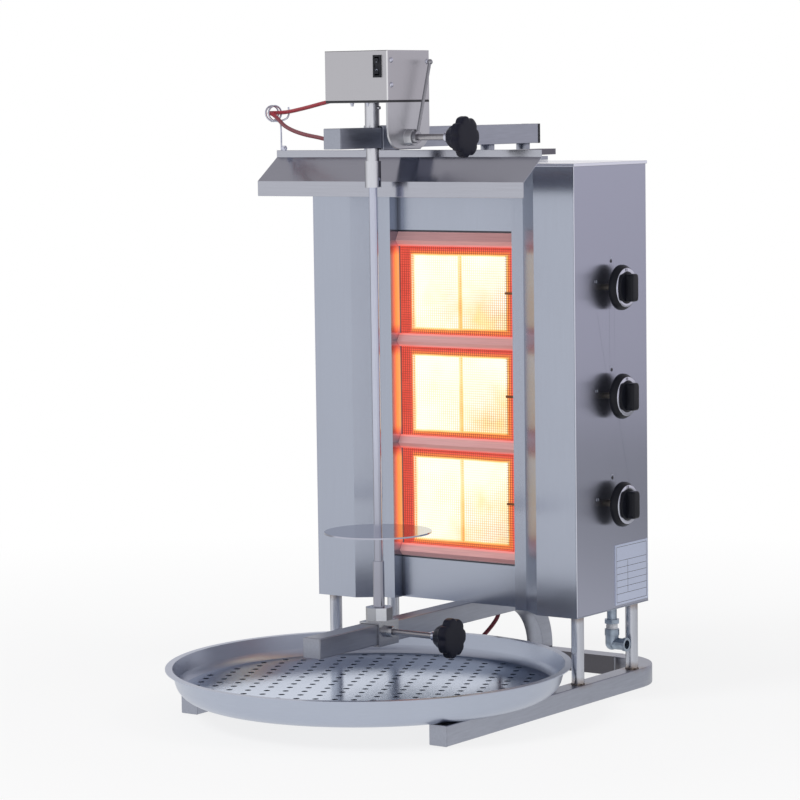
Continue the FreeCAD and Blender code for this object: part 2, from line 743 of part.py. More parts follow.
def gas_pipes():
    """Bent pipes from the taps, each with its brass holder and nozzle at the mixing tube."""
    solids = []
    outlet = tap_face - VALVE_SIZE[0]
    reach = INJECTOR / 2
    y = INJECTOR_Y - VENTURI_RISE
    tip = burner_right + VENTURI_LENGTH - NOZZLE_REACH
    for z in KNOB_HEIGHTS:
        holder = box(injector_x - reach, injector_x + reach, INJECTOR_Y - reach, INJECTOR_Y + reach,
                     z - reach, z + reach)
        nozzle = cone(*NOZZLE, (injector_x - reach, y, z), (tip, y, z))
        corner = FreeCAD.Vector(injector_x + PIPE_BEND, KNOB_Y, z)
        after = FreeCAD.Vector(injector_x, KNOB_Y - PIPE_BEND, z)
        end = FreeCAD.Vector(injector_x, INJECTOR_Y + reach, z)
        edges = [arc_through(corner, FreeCAD.Vector(-1, 0, 0), after), Part.LineSegment(after, end).toShape()]
        straight = rod(PIPE_DIAMETER, (outlet, KNOB_Y, z), (injector_x + PIPE_BEND, KNOB_Y, z))
        solids.append(pipe(edges, PIPE_DIAMETER).fuse([straight, holder, nozzle]))
    return group(solids)


def flame_probes():
    """Sensing rods that cross the right edge of each window, held in the recess's wall."""
    rods = []
    y = RECESS_DEPTH - PROBE_STANDOFF
    for low, high in BURNER_WINDOWS:
        z = (low + high) / 2 - PROBE_DROP
        tip = recess_half - PROBE_REACH
        rods.append(rod(PROBE_DIAMETER, (tip, y, z), (recess_half, y, z)))
    return group(rods)


# Gas taps and supply

def valve_bodies():
    """Tap bodies behind the panel, each with its spigot from the manifold."""
    solids = []
    length, width, height = VALVE_SIZE
    middle = tap_face - length / 2
    for z in KNOB_HEIGHTS:
        body = box(tap_face - length, tap_face, KNOB_Y - width / 2, KNOB_Y + width / 2,
                   z - height / 2, z + height / 2)
        neck = rod(VALVE_NECK, (tap_face, KNOB_Y, z), (half - SHEET, KNOB_Y, z))
        spigot = rod(VALVE_SPIGOT, (middle, KNOB_Y + width / 2, z), (middle, INLET_Y - MANIFOLD / 2, z))
        bore = rod(STEM_DIAMETER + 2 * RUNNING_GAP, (middle, KNOB_Y, z), (half, KNOB_Y, z))
        solids.append(body.fuse([neck, spigot]).cut(bore))
    return group(solids)


def gas_manifold():
    """The upright square pipe that feeds the taps, closed at its top."""
    reach = MANIFOLD / 2
    top = KNOB_HEIGHTS[-1] + VALVE_SIZE[2] / 2 + MANIFOLD_ABOVE
    x = tap_face - VALVE_SIZE[0] / 2
    tube = box(x - reach, x + reach, INLET_Y - reach, INLET_Y + reach, wall_bottom, top)
    inset = reach - MANIFOLD_WALL
    tube = tube.cut(box(x - inset, x + inset, INLET_Y - inset, INLET_Y + inset, wall_bottom,
                        top - MANIFOLD_WALL))
    foot = box(INLET_X - reach, x + reach, INLET_Y - reach, INLET_Y + reach, wall_bottom,
               wall_bottom + MANIFOLD_FOOT)
    hollow = box(INLET_X - inset, x + inset, INLET_Y - inset, INLET_Y + inset,
                 wall_bottom + MANIFOLD_WALL, wall_bottom + MANIFOLD_FOOT - MANIFOLD_WALL)
    joined = tube.fuse(foot).cut(hollow)
    return joined.removeSplitter()


def inlet_nipple():
    """Pipe nipple through the floor with its lock nut under it."""
    nut_top = cab_bottom - NUT_DROP
    body = rod(NIPPLE_DIAMETER, (INLET_X, INLET_Y, nut_top - NUT_HEIGHT), (INLET_X, INLET_Y, wall_bottom))
    nut = prism(NUT_FLATS, INLET_X, INLET_Y, nut_top - NUT_HEIGHT, nut_top)
    ring = rod(NIPPLE_RING, (INLET_X, INLET_Y, cab_bottom - NIPPLE_RING_HEIGHT), (INLET_X, INLET_Y, cab_bottom))
    bore = rod(INLET_BORE, (INLET_X, INLET_Y, 0), (INLET_X, INLET_Y, cab_top))
    return body.fuse([nut, ring]).cut(bore).removeSplitter()


def inlet_elbow():
    """Galvanised elbow under the nut: its mouth points to the right and is threaded inside."""
    top = cab_bottom - NUT_DROP - NUT_HEIGHT
    shoulder = top - TAPE_HEIGHT
    axis_z = shoulder - ELBOW_DIAMETER / 2 - ELBOW_DROP
    tape = rod(TAPE_DIAMETER, (INLET_X, INLET_Y, shoulder), (INLET_X, INLET_Y, top))
    collar = rod(ELBOW_BAND, (INLET_X, INLET_Y, shoulder - ELBOW_BAND_HEIGHT), (INLET_X, INLET_Y, shoulder))
    down = rod(ELBOW_DIAMETER, (INLET_X, INLET_Y, axis_z), (INLET_X, INLET_Y, shoulder))
    knee = Part.makeSphere(ELBOW_DIAMETER / 2, FreeCAD.Vector(INLET_X, INLET_Y, axis_z))
    mouth_x = INLET_X + ELBOW_REACH
    arm = rod(ELBOW_OUTLET, (INLET_X, INLET_Y, axis_z), (mouth_x, INLET_Y, axis_z))
    lip = rod(ELBOW_LIP, (mouth_x - ELBOW_LIP_LENGTH, INLET_Y, axis_z), (mouth_x, INLET_Y, axis_z))
    body = tape.fuse([collar, down, knee, arm, lip])
    body = body.cut(rod(INLET_BORE, (INLET_X, INLET_Y, axis_z), (INLET_X, INLET_Y, top)))
    body = body.cut(rod(INLET_BORE, (INLET_X, INLET_Y, axis_z), (mouth_x, INLET_Y, axis_z)))
    mouth = rod(2 * MOUTH_RADIUS, (mouth_x - MOUTH_DEPTH, INLET_Y, axis_z), (mouth_x, INLET_Y, axis_z))
    print("gas inlet mouth", mouth_x, INLET_Y + shift_y, axis_z)
    return body.cut(mouth)


def knob_stem(z):
    x0 = tap_face - VALVE_SIZE[0] / 2 + KNOB_PUSH + FIT_GAP
    return rod(STEM_DIAMETER, (x0, KNOB_Y, z), (knob_back + KNOB_BORE, KNOB_Y, z))


def gas_knob(z):
    """A black tap knob: a tapered skirt, a low drum and an upright block to grip."""
    edge = knob_back + KNOB_EDGE
    face = knob_back + KNOB_SKIRT
    skirt = rod(KNOB_DIAMETER, (knob_back, KNOB_Y, z), (edge, KNOB_Y, z))
    taper = cone(KNOB_DIAMETER, KNOB_FACE, (edge, KNOB_Y, z), (face, KNOB_Y, z))
    drum = rod(KNOB_DRUM, (face, KNOB_Y, z), (face + KNOB_DRUM_RISE, KNOB_Y, z))
    grip = box(face, face + KNOB_GRIP, KNOB_Y - KNOB_GRIP_WIDTH / 2, KNOB_Y + KNOB_GRIP_WIDTH / 2,
               z - KNOB_GRIP_LENGTH / 2, z + KNOB_GRIP_LENGTH / 2)
    rounded = [edge for edge in grip.Edges if edge.BoundBox.XLength > KNOB_GRIP / 2]
    grip = grip.makeFillet(KNOB_GRIP_ROUND, rounded)
    bore_end = knob_back + KNOB_BORE + FIT_GAP
    bore = rod(STEM_DIAMETER + 2 * RUNNING_GAP, (knob_back, KNOB_Y, z), (bore_end, KNOB_Y, z))
    return skirt.fuse([taper, drum, grip]).cut(bore).removeSplitter()


# Top arm and hood

def upper_arm():
    """The top arm: slotted above and below for the drive sleeve, with the lead's hole."""
    tube = square_tube(0, UPPER_ARM_FRONT_Y + CAP, UPPER_ARM_REAR_Y - CAP, upper_bottom)
    slot = DRIVE_DIAMETER / 2 + ARM_SLOT_GAP
    y0 = SPIT_Y - TRAVEL_FORWARD - slot
    y1 = SPIT_Y + TRAVEL_BACK + slot
    tube = tube.cut(box(-slot, slot, y0, y1, upper_bottom, upper_top))
    z = upper_bottom + TUBE / 2 - LEAD_HOLE_DROP
    return tube.cut(rod(MOTOR_LEAD + LEAD_HOLE_GAP, (-TUBE, LEAD_HOLE_Y, z), (0, LEAD_HOLE_Y, z)))


def arm_end_plug():
    y1 = UPPER_ARM_REAR_Y
    return box(-TUBE / 2, TUBE / 2, y1 - CAP, y1, upper_bottom, upper_top)


def saddle():
    """The plate on the lid with the two posts that carry the top arm."""
    z1 = cab_top + SADDLE[1]
    plate = box(-SADDLE[0] / 2, SADDLE[0] / 2, SADDLE_FRONT_Y, SADDLE_REAR_Y, cab_top, z1)
    posts = [rod(POST_DIAMETER, (0, y, z1), (0, y, upper_bottom)) for y in POST_PLACES]
    bolt_x = SADDLE[0] / 2 - SADDLE_BOLT_INSET
    bolts = [prism(SADDLE_BOLT_FLATS, x, y, z1, z1 + SADDLE_BOLT_HEIGHT)
             for x in (-bolt_x, bolt_x) for y in SADDLE_BOLT_PLACES]
    return plate.fuse(posts + bolts).removeSplitter()


def hood_sheet():
    """The hood: an upright flange, a sheet that slants down to the front, and a lip."""
    flange_bottom = HOOD_TOP - HOOD_FLANGE
    lip_top = flange_bottom - HOOD_DROP
    path = [(HOOD_FLANGE_Y, HOOD_TOP), (HOOD_FLANGE_Y, flange_bottom), (HOOD_LIP_Y, lip_top),
            (HOOD_LIP_Y, lip_top - HOOD_LIP)]
    return folded(path, SHEET, lambda y, z: FreeCAD.Vector(-HOOD_WIDTH / 2, y, z),
                  FreeCAD.Vector(HOOD_WIDTH, 0, 0))


def hood_straps():
    """Two flat straps from the lid to the hood's flange, welded on round spacers."""
    solids = []
    z1 = HOOD_TOP - STRAP_DROP
    z0 = z1 - STRAP_THICK
    for x in (-STRAP_X, STRAP_X):
        strap = box(x - STRAP_WIDTH / 2, x + STRAP_WIDTH / 2, HOOD_FLANGE_Y + SHEET, STRAP_REAR_Y, z0, z1)
        spacers = [rod(SPACER_DIAMETER, (x, y, cab_top), (x, y, z0)) for y in SPACER_PLACES]
        solids.append(strap.fuse(spacers).removeSplitter())
    return group(solids)


def guide_place(turns):
    """A place on the wire guide's helix and the way the wire runs there."""
    heading = math.radians(GUIDE_HEADING)
    along = FreeCAD.Vector(math.cos(heading), math.sin(heading), 0)
    across = FreeCAD.Vector(math.sin(heading), -math.cos(heading), 0)
    angle = 2 * math.pi * turns
    centre = FreeCAD.Vector(*GUIDE_CENTRE) + along * (GUIDE_PITCH * (turns - GUIDE_TURNS / 2))
    up = FreeCAD.Vector(0, 0, 1)
    spot = centre - across * (GUIDE_LOOP * math.sin(angle)) - up * (GUIDE_LOOP * math.cos(angle))
    way = (up * math.sin(angle) - across * math.cos(angle)) * (2 * math.pi * GUIDE_LOOP)
    return spot, way + along * GUIDE_PITCH


def wire_guide():
    """A bent wire behind the hood's flange whose two loops hold the motor lead."""
    foot_x, foot_z = GUIDE_FOOT
    foot = FreeCAD.Vector(foot_x, HOOD_FLANGE_Y + SHEET + GUIDE_WIRE / 2, foot_z)
    knee = foot + FreeCAD.Vector(0, 0, GUIDE_STEM)
    edges = [Part.LineSegment(foot, knee).toShape()]
    spot, way = guide_place(0)
    edges += biarc(knee, FreeCAD.Vector(0, 0, 1), spot, way)
    for quarter in range(4 * GUIDE_TURNS):
        after, next_way = guide_place((quarter + 1) / 4)
        edges += biarc(spot, way, after, next_way)
        spot, way = after, next_way
    print("guide self gap", round(self_gap(edges, GUIDE_WIRE), 2))
    return pipe(edges, GUIDE_WIRE)


# Upper carriage and motor head

def upper_sleeve():
    """The square sleeve on the top arm, notched in front for the drive sleeve."""
    outer = 2 * sleeve_half
    sleeve = square_tube(0, UPPER_SLEEVE_FRONT_Y, UPPER_SLEEVE_REAR_Y,
                         upper_bottom + TUBE / 2 - sleeve_half, outer, SLEEVE_WALL)
    notch_size = DRIVE_DIAMETER + 2 * SLEEVE_NOTCH_GAP
    notch = rod(notch_size, (0, SPIT_Y, upper_bottom - TUBE), (0, SPIT_Y, upper_top + TUBE))
    y0, y1, height = SPACER_BLOCK
    z = upper_bottom + TUBE / 2
    spacer = box(sleeve_half, HEAD_WIDTH / 2 - BRACKET_THICK, y0, y1, z - height / 2, z + height / 2)
    return sleeve.cut(notch).fuse(spacer).removeSplitter()


def motor_bracket():
    """The folded plate under the motor head with its cheek down the right side."""
    reach = HEAD_WIDTH / 2
    floor = box(-reach, reach, HEAD_FRONT_Y, HEAD_REAR_Y, head_floor, head_bottom)
    hole = DRIVE_DIAMETER + 2 * BRACKET_HOLE_GAP
    floor = floor.cut(rod(hole, (0, SPIT_Y, head_floor), (0, SPIT_Y, head_bottom)))
    cheek = box(reach - BRACKET_THICK, reach, HEAD_FRONT_Y, HEAD_REAR_Y, head_floor - CHEEK_DROP, head_floor)
    corners = [edge for edge in cheek.Edges
               if edge.BoundBox.XLength > BRACKET_THICK / 2 and edge.BoundBox.ZMax < head_floor - 1]
    cheek = cheek.makeFillet(CHEEK_ROUND, corners)
    boss = rod(CLAMP_BOSS, (reach, CLAMP_Y, CLAMP_Z), (reach + CLAMP_BOSS_LENGTH, CLAMP_Y, CLAMP_Z))
    bore = rod(SCREW_DIAMETER + 2 * RUNNING_GAP, (reach - 2 * BRACKET_THICK, CLAMP_Y, CLAMP_Z),
               (reach + 2 * CLAMP_BOSS_LENGTH, CLAMP_Y, CLAMP_Z))
    return floor.fuse([cheek, boss]).cut(bore).removeSplitter()


def gear_motor():
    """Gearbox on the bracket's floor with the motor on top of it."""
    width, depth, height = GEARBOX
    y0 = SPIT_Y - GEARBOX_FRONT
    gearbox = box(-width / 2, width / 2, y0, y0 + depth, head_bottom, head_bottom + height)
    motor_y = y0 + depth - MOTOR_DIAMETER / 2 - MOTOR_INSET
    motor = rod(MOTOR_DIAMETER, (0, motor_y, head_bottom + height),
                (0, motor_y, head_bottom + height + MOTOR_HEIGHT))
    bore = rod(OUTPUT_SHAFT + 2 * RUNNING_GAP, (0, SPIT_Y, head_bottom),
               (0, SPIT_Y, head_bottom + height - GEARBOX_LID))
    return gearbox.fuse(motor).cut(bore)


def motor_cover():
    """The head's sheet cover: open below, with the switch's window and the lead's hole."""
    reach = HEAD_WIDTH / 2
    cover = box(-reach, reach, HEAD_FRONT_Y, HEAD_REAR_Y, head_bottom, head_top)
    cover = cover.cut(box(-reach + SHEET, reach - SHEET, HEAD_FRONT_Y + SHEET, HEAD_REAR_Y - SHEET,
                          head_bottom, head_top - SHEET))
    width = ROCKER_SIZE[0] / 2 - SWITCH_WINDOW_INSET
    height = ROCKER_SIZE[1] / 2 - SWITCH_WINDOW_INSET
    cover = cover.cut(box(ROCKER_X - width, ROCKER_X + width, HEAD_FRONT_Y, HEAD_FRONT_Y + 2 * SHEET,
                          ROCKER_Z - height, ROCKER_Z + height))
    x, y, z = MOTOR_ROUTE[0]
    return cover.cut(rod(MOTOR_LEAD + LEAD_HOLE_GAP, (x - SHEET, y, z), (x + 3 * SHEET, y, z)))


def cover_screws():
    reach = HEAD_WIDTH / 2
    solids = []
    for side in (-1, 1):
        for y, z in COVER_SCREWS:
            top = side * (reach + COVER_SCREW_RISE)
            solids.append(cone(*COVER_SCREW_HEAD, (side * reach, y, z), (top, y, z)))
    return group(solids)


def switch_box(inset, y0, y1):
    """A block on the rocker's place, inset from the switch's outline."""
    width = ROCKER_SIZE[0] / 2 - inset
    height = ROCKER_SIZE[1] / 2 - inset
    return box(ROCKER_X - width, ROCKER_X + width, y0, y1, ROCKER_Z - height, ROCKER_Z + height)


def switch_housing():
    """The switch's bezel on the cover's front and its box behind it, open for the rocker."""
    y = HEAD_FRONT_Y
    bezel = switch_box(0, y - BEZEL, y)
    well = switch_box(SWITCH_WINDOW_INSET + FIT_GAP, y, y + SWITCH_DEPTH)
    hollow = switch_box(SWITCH_WALL, y - BEZEL, y + SWITCH_HOLLOW)
    body = bezel.fuse(well).cut(hollow).removeSplitter()
    pin_y = y + SWITCH_PIN_DEPTH
    pins = []
    for side in (-1, 1):
        x = ROCKER_X + side * (ROCKER_SIZE[0] / 2 - SWITCH_WALL)
        pins.append(rod(SWITCH_PIN, (x, pin_y, ROCKER_Z), (x - side * SWITCH_PIN_LENGTH, pin_y, ROCKER_Z)))
    return body.fuse(pins)


def rocker():
    """The paddle, hollowed in front like a wide V, on the housing's two pins."""
    reach_x = ROCKER_SIZE[0] / 2 - SWITCH_WALL - FIT_GAP
    reach_z = ROCKER_SIZE[1] / 2 - SWITCH_WALL - ROCKER_END_GAP
    y = HEAD_FRONT_Y
    pin_y = y + SWITCH_PIN_DEPTH
    back = pin_y + SWITCH_PIN / 2
    path = [(y - ROCKER_PROUD, -reach_z), (y - ROCKER_DISH, 0), (y - ROCKER_PROUD, reach_z),
            (back, reach_z - ROCKER_TAPER), (pin_y + ROCKER_KEEL, 0), (back, ROCKER_TAPER - reach_z)]
    corners = [FreeCAD.Vector(ROCKER_X - reach_x, v, ROCKER_Z + w) for v, w in path + path[:1]]
    paddle = Part.Face(Part.makePolygon(corners)).extrude(FreeCAD.Vector(2 * reach_x, 0, 0))
    bore = rod(SWITCH_PIN + 2 * RUNNING_GAP, (ROCKER_X - reach_x, pin_y, ROCKER_Z),
               (ROCKER_X + reach_x, pin_y, ROCKER_Z))
    return paddle.cut(bore)


def lock_lever():
    """The quick clamp's lever: a collar on the screw, a thin rod and a ball end."""
    x0 = HEAD_WIDTH / 2 + CLAMP_BOSS_LENGTH + FIT_GAP
    x1 = x0 + LEVER_COLLAR_LENGTH
    collar = rod(LEVER_COLLAR, (x0, CLAMP_Y, CLAMP_Z), (x1, CLAMP_Y, CLAMP_Z))
    lean = math.radians(LEVER_LEAN)
    way = FreeCAD.Vector(0, math.sin(lean), math.cos(lean))
    x = (x0 + x1) / 2
    centre = FreeCAD.Vector(x, CLAMP_Y, CLAMP_Z)
    stem = rod(LEVER_ROD, centre + way * (LEVER_COLLAR / 4), centre + way * LEVER_LENGTH)
    ball = Part.makeSphere(LEVER_BALL / 2, centre + way * LEVER_LENGTH)
    bore = rod(SCREW_DIAMETER + 2 * RUNNING_GAP, (x0, CLAMP_Y, CLAMP_Z), (x1, CLAMP_Y, CLAMP_Z))
    return collar.fuse([stem, ball]).cut(bore)


def star_knob(x_star, y, z, screw_start):
    """A clamp screw with a steel ferrule, a tapered hub and a lobed head, along X."""
    hub_start = x_star - STAR_HUB_LENGTH
    screw = rod(SCREW_DIAMETER, (screw_start, y, z), (x_star, y, z))
    ferrule = rod(STAR_FERRULE, (hub_start - STAR_FERRULE_LENGTH, y, z), (hub_start, y, z))
    hub = cone(*STAR_HUB, (hub_start, y, z), (x_star, y, z))
    head = rod(STAR_DIAMETER, (x_star, y, z), (x_star + STAR_THICK, y, z))
    notches = []
    for i in range(STAR_LOBES):
        angle = 2 * math.pi * (i + 0.5) / STAR_LOBES
        reach = STAR_DIAMETER / 2 + STAR_NOTCH * STAR_NOTCH_SHARE
        ny = y + reach * math.cos(angle)
        nz = z + reach * math.sin(angle)
        notches.append(rod(2 * STAR_NOTCH, (x_star, ny, nz), (x_star + STAR_THICK, ny, nz)))
    head = head.cut(notches)
    return head.fuse([hub, ferrule, screw]).removeSplitter()


def drive_sleeve():
    """The turning sleeve on the motor's shaft: it passes the arm and ends in a bayonet socket."""
    def at(z):
        return (0, SPIT_Y, z)

    top = rod(DRIVE_DIAMETER, at(upper_bottom), at(head_bottom - RUNNING_GAP))
    neck = rod(DRIVE_NECK, at(DRIVE_SOCKET_TOP), at(upper_bottom))
    socket = rod(DRIVE_SOCKET, at(DRIVE_BOTTOM), at(DRIVE_SOCKET_TOP))
    shaft = rod(OUTPUT_SHAFT, at(head_floor), at(head_bottom + GEARBOX[2] - GEARBOX_LID - FIT_GAP))
    screw_z = upper_top + DRIVE_SCREW_LIFT
    screw = rod(DRIVE_SCREW, at(screw_z), (DRIVE_DIAMETER / 2 + DRIVE_SCREW_REACH, SPIT_Y, screw_z))
    bore = rod(DRIVE_BORE, at(DRIVE_BOTTOM), at(SPIT_TOP + SPIT_TIP / 2))
    slot = BAYONET_SLOT / 2
    entry = box(-DRIVE_SOCKET, DRIVE_SOCKET, SPIT_Y - slot, SPIT_Y + slot, DRIVE_BOTTOM, BAYONET_PIN_Z + slot)
    return top.fuse([neck, socket, shaft, screw]).cut(bore).cut(entry).removeSplitter()


# Lower carriage and spit

def lower_sleeve():
    """The square sleeve on the low arm with the spit's bearing and the clamp screw's lug."""
    y0 = SPIT_Y - LOWER_SLEEVE_FRONT
    y1 = SPIT_Y + LOWER_SLEEVE_REAR
    middle = arm_top - TUBE / 2
    sleeve = square_tube(0, y0, y1, middle - sleeve_half, 2 * sleeve_half, SLEEVE_WALL)
    bearing_bottom = middle + sleeve_half
    bearing = prism(BEARING_FLATS, 0, SPIT_Y, bearing_bottom, bearing_top, 8, 0.5)
    pivot = rod(SPIT_PIVOT + 2 * RUNNING_GAP, (0, SPIT_Y, bearing_top - SPIT_PIVOT_LENGTH - FIT_GAP),
                (0, SPIT_Y, bearing_top))
    lug = rod(LUG, (sleeve_half, LOWER_SCREW_Y, LOWER_SCREW_Z),
              (sleeve_half + LUG_LENGTH, LOWER_SCREW_Y, LOWER_SCREW_Z))
    hole = rod(SCREW_DIAMETER + 2 * RUNNING_GAP, (TUBE / 2, LOWER_SCREW_Y, LOWER_SCREW_Z),
               (sleeve_half + LUG_LENGTH, LOWER_SCREW_Y, LOWER_SCREW_Z))
    return sleeve.fuse([bearing, lug]).cut(pivot).cut(hole).removeSplitter()


def spit_rod():
    """The spit: a pivot in the bearing, a thick foot, the long rod and its cross pin."""
    def at(z):
        return (0, SPIT_Y, z)

    foot = bearing_top + FIT_GAP
    shoulder = SPIT_TOP - SPIT_POINT
    pivot = rod(SPIT_PIVOT, at(bearing_top - SPIT_PIVOT_LENGTH), at(foot))
    collar = rod(SPIT_COLLAR, at(foot), at(SPIT_COLLAR_TOP))
    bar = rod(SPIT_DIAMETER, at(SPIT_COLLAR_TOP), at(shoulder))
    tip = cone(SPIT_DIAMETER, SPIT_TIP, at(shoulder), at(SPIT_TOP))
    reach = DRIVE_SOCKET / 2 - BAYONET_PIN / 4
    pin = rod(BAYONET_PIN, (-reach, SPIT_Y, BAYONET_PIN_Z), (reach, SPIT_Y, BAYONET_PIN_Z))
    return pivot.fuse([collar, bar, tip, pin])


def spit_disc():
    """The meat disc with its small hub, pressed on the spit."""
    hub_bottom = DISC_Z - DISC_HUB_HEIGHT
    disc = rod(DISC_DIAMETER, (0, SPIT_Y, DISC_Z), (0, SPIT_Y, DISC_Z + DISC_THICK))
    hub = rod(DISC_HUB, (0, SPIT_Y, hub_bottom), (0, SPIT_Y, DISC_Z))
    bore = rod(SPIT_DIAMETER, (0, SPIT_Y, hub_bottom), (0, SPIT_Y, DISC_Z + DISC_THICK))
    return disc.fuse(hub).cut(bore)


# Pan

def pan_section():
    """Places on the pan's inner face: corner centre radius and height, and the wall's tilt."""
    tilt = math.radians(PAN_TILT)
    rim_z = TUBE + PAN_HEIGHT - SHEET
    inner_bottom = TUBE + SHEET
    top_radius = PAN_RADIUS - PAN_RIM
    rise = rim_z - inner_bottom - PAN_CORNER
    centre = top_radius - (PAN_CORNER + rise * math.sin(tilt)) / math.cos(tilt)
    return centre, inner_bottom + PAN_CORNER, tilt, rim_z, top_radius


def pan():
    """A pressed round pan: flat bottom, round corner, leaning wall and a flat rim."""
    centre, corner_z, tilt, rim_z, top_radius = pan_section()
    outer = PAN_CORNER + SHEET

    def at(radius, z):
        return FreeCAD.Vector(radius, PAN_Y, z)

    def on_corner(size, angle):
        return at(centre + size * math.cos(angle), corner_z - size * math.sin(angle))

    half_way = (math.pi / 2 + tilt) / 2
    out_end = on_corner(outer, tilt)
    in_end = on_corner(PAN_CORNER, tilt)
    slope = math.tan(tilt)
    out_top = at(out_end.x + (rim_z - out_end.z) * slope, rim_z)
    in_top = at(in_end.x + (rim_z + SHEET - in_end.z) * slope, rim_z + SHEET)
    edges = [Part.LineSegment(at(0, TUBE), at(centre, TUBE)),
             Part.Arc(at(centre, TUBE), on_corner(outer, half_way), out_end),
             Part.LineSegment(out_end, out_top),
             Part.LineSegment(out_top, at(PAN_RADIUS, rim_z)),
             Part.LineSegment(at(PAN_RADIUS, rim_z), at(PAN_RADIUS, rim_z + SHEET)),
             Part.LineSegment(at(PAN_RADIUS, rim_z + SHEET), in_top),
             Part.LineSegment(in_top, in_end),
             Part.Arc(in_end, on_corner(PAN_CORNER, half_way), at(centre, TUBE + SHEET)),
             Part.LineSegment(at(centre, TUBE + SHEET), at(0, TUBE + SHEET)),
             Part.LineSegment(at(0, TUBE + SHEET), at(0, TUBE))]
    face = Part.Face(Part.Wire([edge.toShape() for edge in edges]))
    return face.revolve(FreeCAD.Vector(0, PAN_Y, 0), FreeCAD.Vector(0, 0, 1), 360)


def sieve_plate():
    """The round plate in the pan: square rows of holes, turned as the photograph shows them."""
    centre, corner_z, _, _, _ = pan_section()
    z = TUBE + PLATE_LIFT
    radius = centre + math.sqrt(PAN_CORNER ** 2 - (corner_z - z) ** 2) - FIT_GAP
    rim = Part.Wire(Part.makeCircle(radius, FreeCAD.Vector(0, PAN_Y, z)))
    wires = [rim]
    count = int(radius / PLATE_PITCH) + 1
    turn = math.radians(PLATE_TURN)
    for i in range(-count, count + 1):
        for j in range(-count, count + 1):
            x = PLATE_PITCH * (i * math.cos(turn) - j * math.sin(turn))
            y = PLATE_PITCH * (i * math.sin(turn) + j * math.cos(turn))
            if math.hypot(x, y) < radius - PLATE_EDGE:
                hole = Part.makeCircle(PLATE_HOLE / 2, FreeCAD.Vector(x, PAN_Y + y, z))
                wires.append(Part.Wire(hole))
    plate = Part.Face(wires, "Part::FaceMakerBullseye")
    return plate.extrude(FreeCAD.Vector(0, 0, PLATE_THICK))


# Leads

def mains_gland():
    """The cable gland under the floor: a nut and a tapered relief round the lead."""
    mouth = MAINS_ROUTE[0][2]
    nut_bottom = cab_bottom - GLAND_NUT_HEIGHT
    nut = prism(GLAND_FLATS, GLAND_X, GLAND_Y, nut_bottom, cab_bottom)
    taper = cone(*GLAND_TAPER, (GLAND_X, GLAND_Y, mouth), (GLAND_X, GLAND_Y, nut_bottom))
    bore = rod(LEAD, (GLAND_X, GLAND_Y, mouth), (GLAND_X, GLAND_Y, mouth + GLAND_SOCKET))
    return nut.fuse(taper).cut(bore)


def coil_place(turned):
    """A place on the coil's middle line and the way it runs, after so many radians."""
    spread = COIL_PITCH * COIL_TURNS
    wide = COIL_MEAN_RADIUS + spread / 2
    tight = COIL_MEAN_RADIUS - spread / 2
    layer = 2 * math.pi * COIL_TURNS
    low = LEAD / 2
    rise = LEAD + COIL_LAYER_GAP
    steady = COIL_PITCH / (2 * math.pi)
    if turned <= layer:
        radius = wide - steady * turned
        z = low
        grow = -steady
        climb = 0.0
    elif turned < layer + math.pi:
        share = (turned - layer) / math.pi
        radius = tight - steady * math.sin(math.pi * share)
        z = low + rise * share ** 2 * (3 - 2 * share)
        grow = -steady * math.cos(math.pi * share)
        climb = rise * 6 * share * (1 - share) / math.pi
    else:
        radius = tight + steady * (turned - layer - math.pi)
        z = low + rise
        grow = steady
        climb = 0.0
    angle = -math.pi / 2 - turned
    out = FreeCAD.Vector(math.cos(angle), math.sin(angle), 0)
    ahead = FreeCAD.Vector(math.sin(angle), -math.cos(angle), 0)
    centre = FreeCAD.Vector(MAINS_ROUTE[-1][0] - LEAD, COIL_CENTRE_Y, 0)
    spot = centre + out * radius + FreeCAD.Vector(0, 0, z)
    return spot, ahead * radius + out * grow + FreeCAD.Vector(0, 0, climb)


def mains_coil():
    """The rest of the mains lead: two layers of flat turns, in and out again."""
    start = FreeCAD.Vector(*MAINS_ROUTE[-1])
    spot = coil_place(0)[0]
    edges = [Part.LineSegment(start, spot).toShape()]
    way = FreeCAD.Vector(spot - start)
    quarters = 8 * COIL_TURNS + 2
    for quarter in range(1, quarters + 1):
        after, next_way = coil_place(quarter * math.pi / 2)
        edges += biarc(spot, way, after, next_way)
        spot, way = after, next_way
    way = FreeCAD.Vector(way).normalize()
    end = spot + way * LEAD
    edges.append(Part.LineSegment(spot, end).toShape())
    solid = pipe(edges, LEAD)
    length = sum(edge.Length for edge in edges)
    share = solid.Volume / (math.pi * LEAD ** 2 / 4 * length)
    print("mains coil length", round(length, 1), "volume share", round(share, 4))
    print("mains coil self gap", round(self_gap(edges, LEAD), 2))
    return solid, end, way


def mains_plug(end, way):
    """A plain moulded two-pin plug at the coil's end, lying on the ground."""
    length, width, height = PLUG_SIZE
    body = box(PLUG_RELIEF, PLUG_RELIEF + length, -width / 2, width / 2, -height / 2, height / 2)
    edges = [edge for edge in body.Edges if edge.BoundBox.XLength > length / 2]
    body = body.makeFillet(height / 3, edges)
    relief = cone(LEAD, PLUG_RELIEF_END, (0, 0, 0), (PLUG_RELIEF, 0, 0))
    tip = PLUG_RELIEF + length
    pins = [rod(PLUG_PIN, (tip, side * PLUG_PIN_SPACING / 2, 0),
                (tip + PLUG_PIN_LENGTH, side * PLUG_PIN_SPACING / 2, 0)) for side in (-1, 1)]
    plug = body.fuse([relief] + pins)
    plug.rotate(FreeCAD.Vector(0, 0, 0), FreeCAD.Vector(0, 0, 1), math.degrees(math.atan2(way.y, way.x)))
    plug.translate(end)
    return plug


def place(shape):
    moved = shape.copy()
    moved.translate(FreeCAD.Vector(0, shift_y, 0))
    return moved


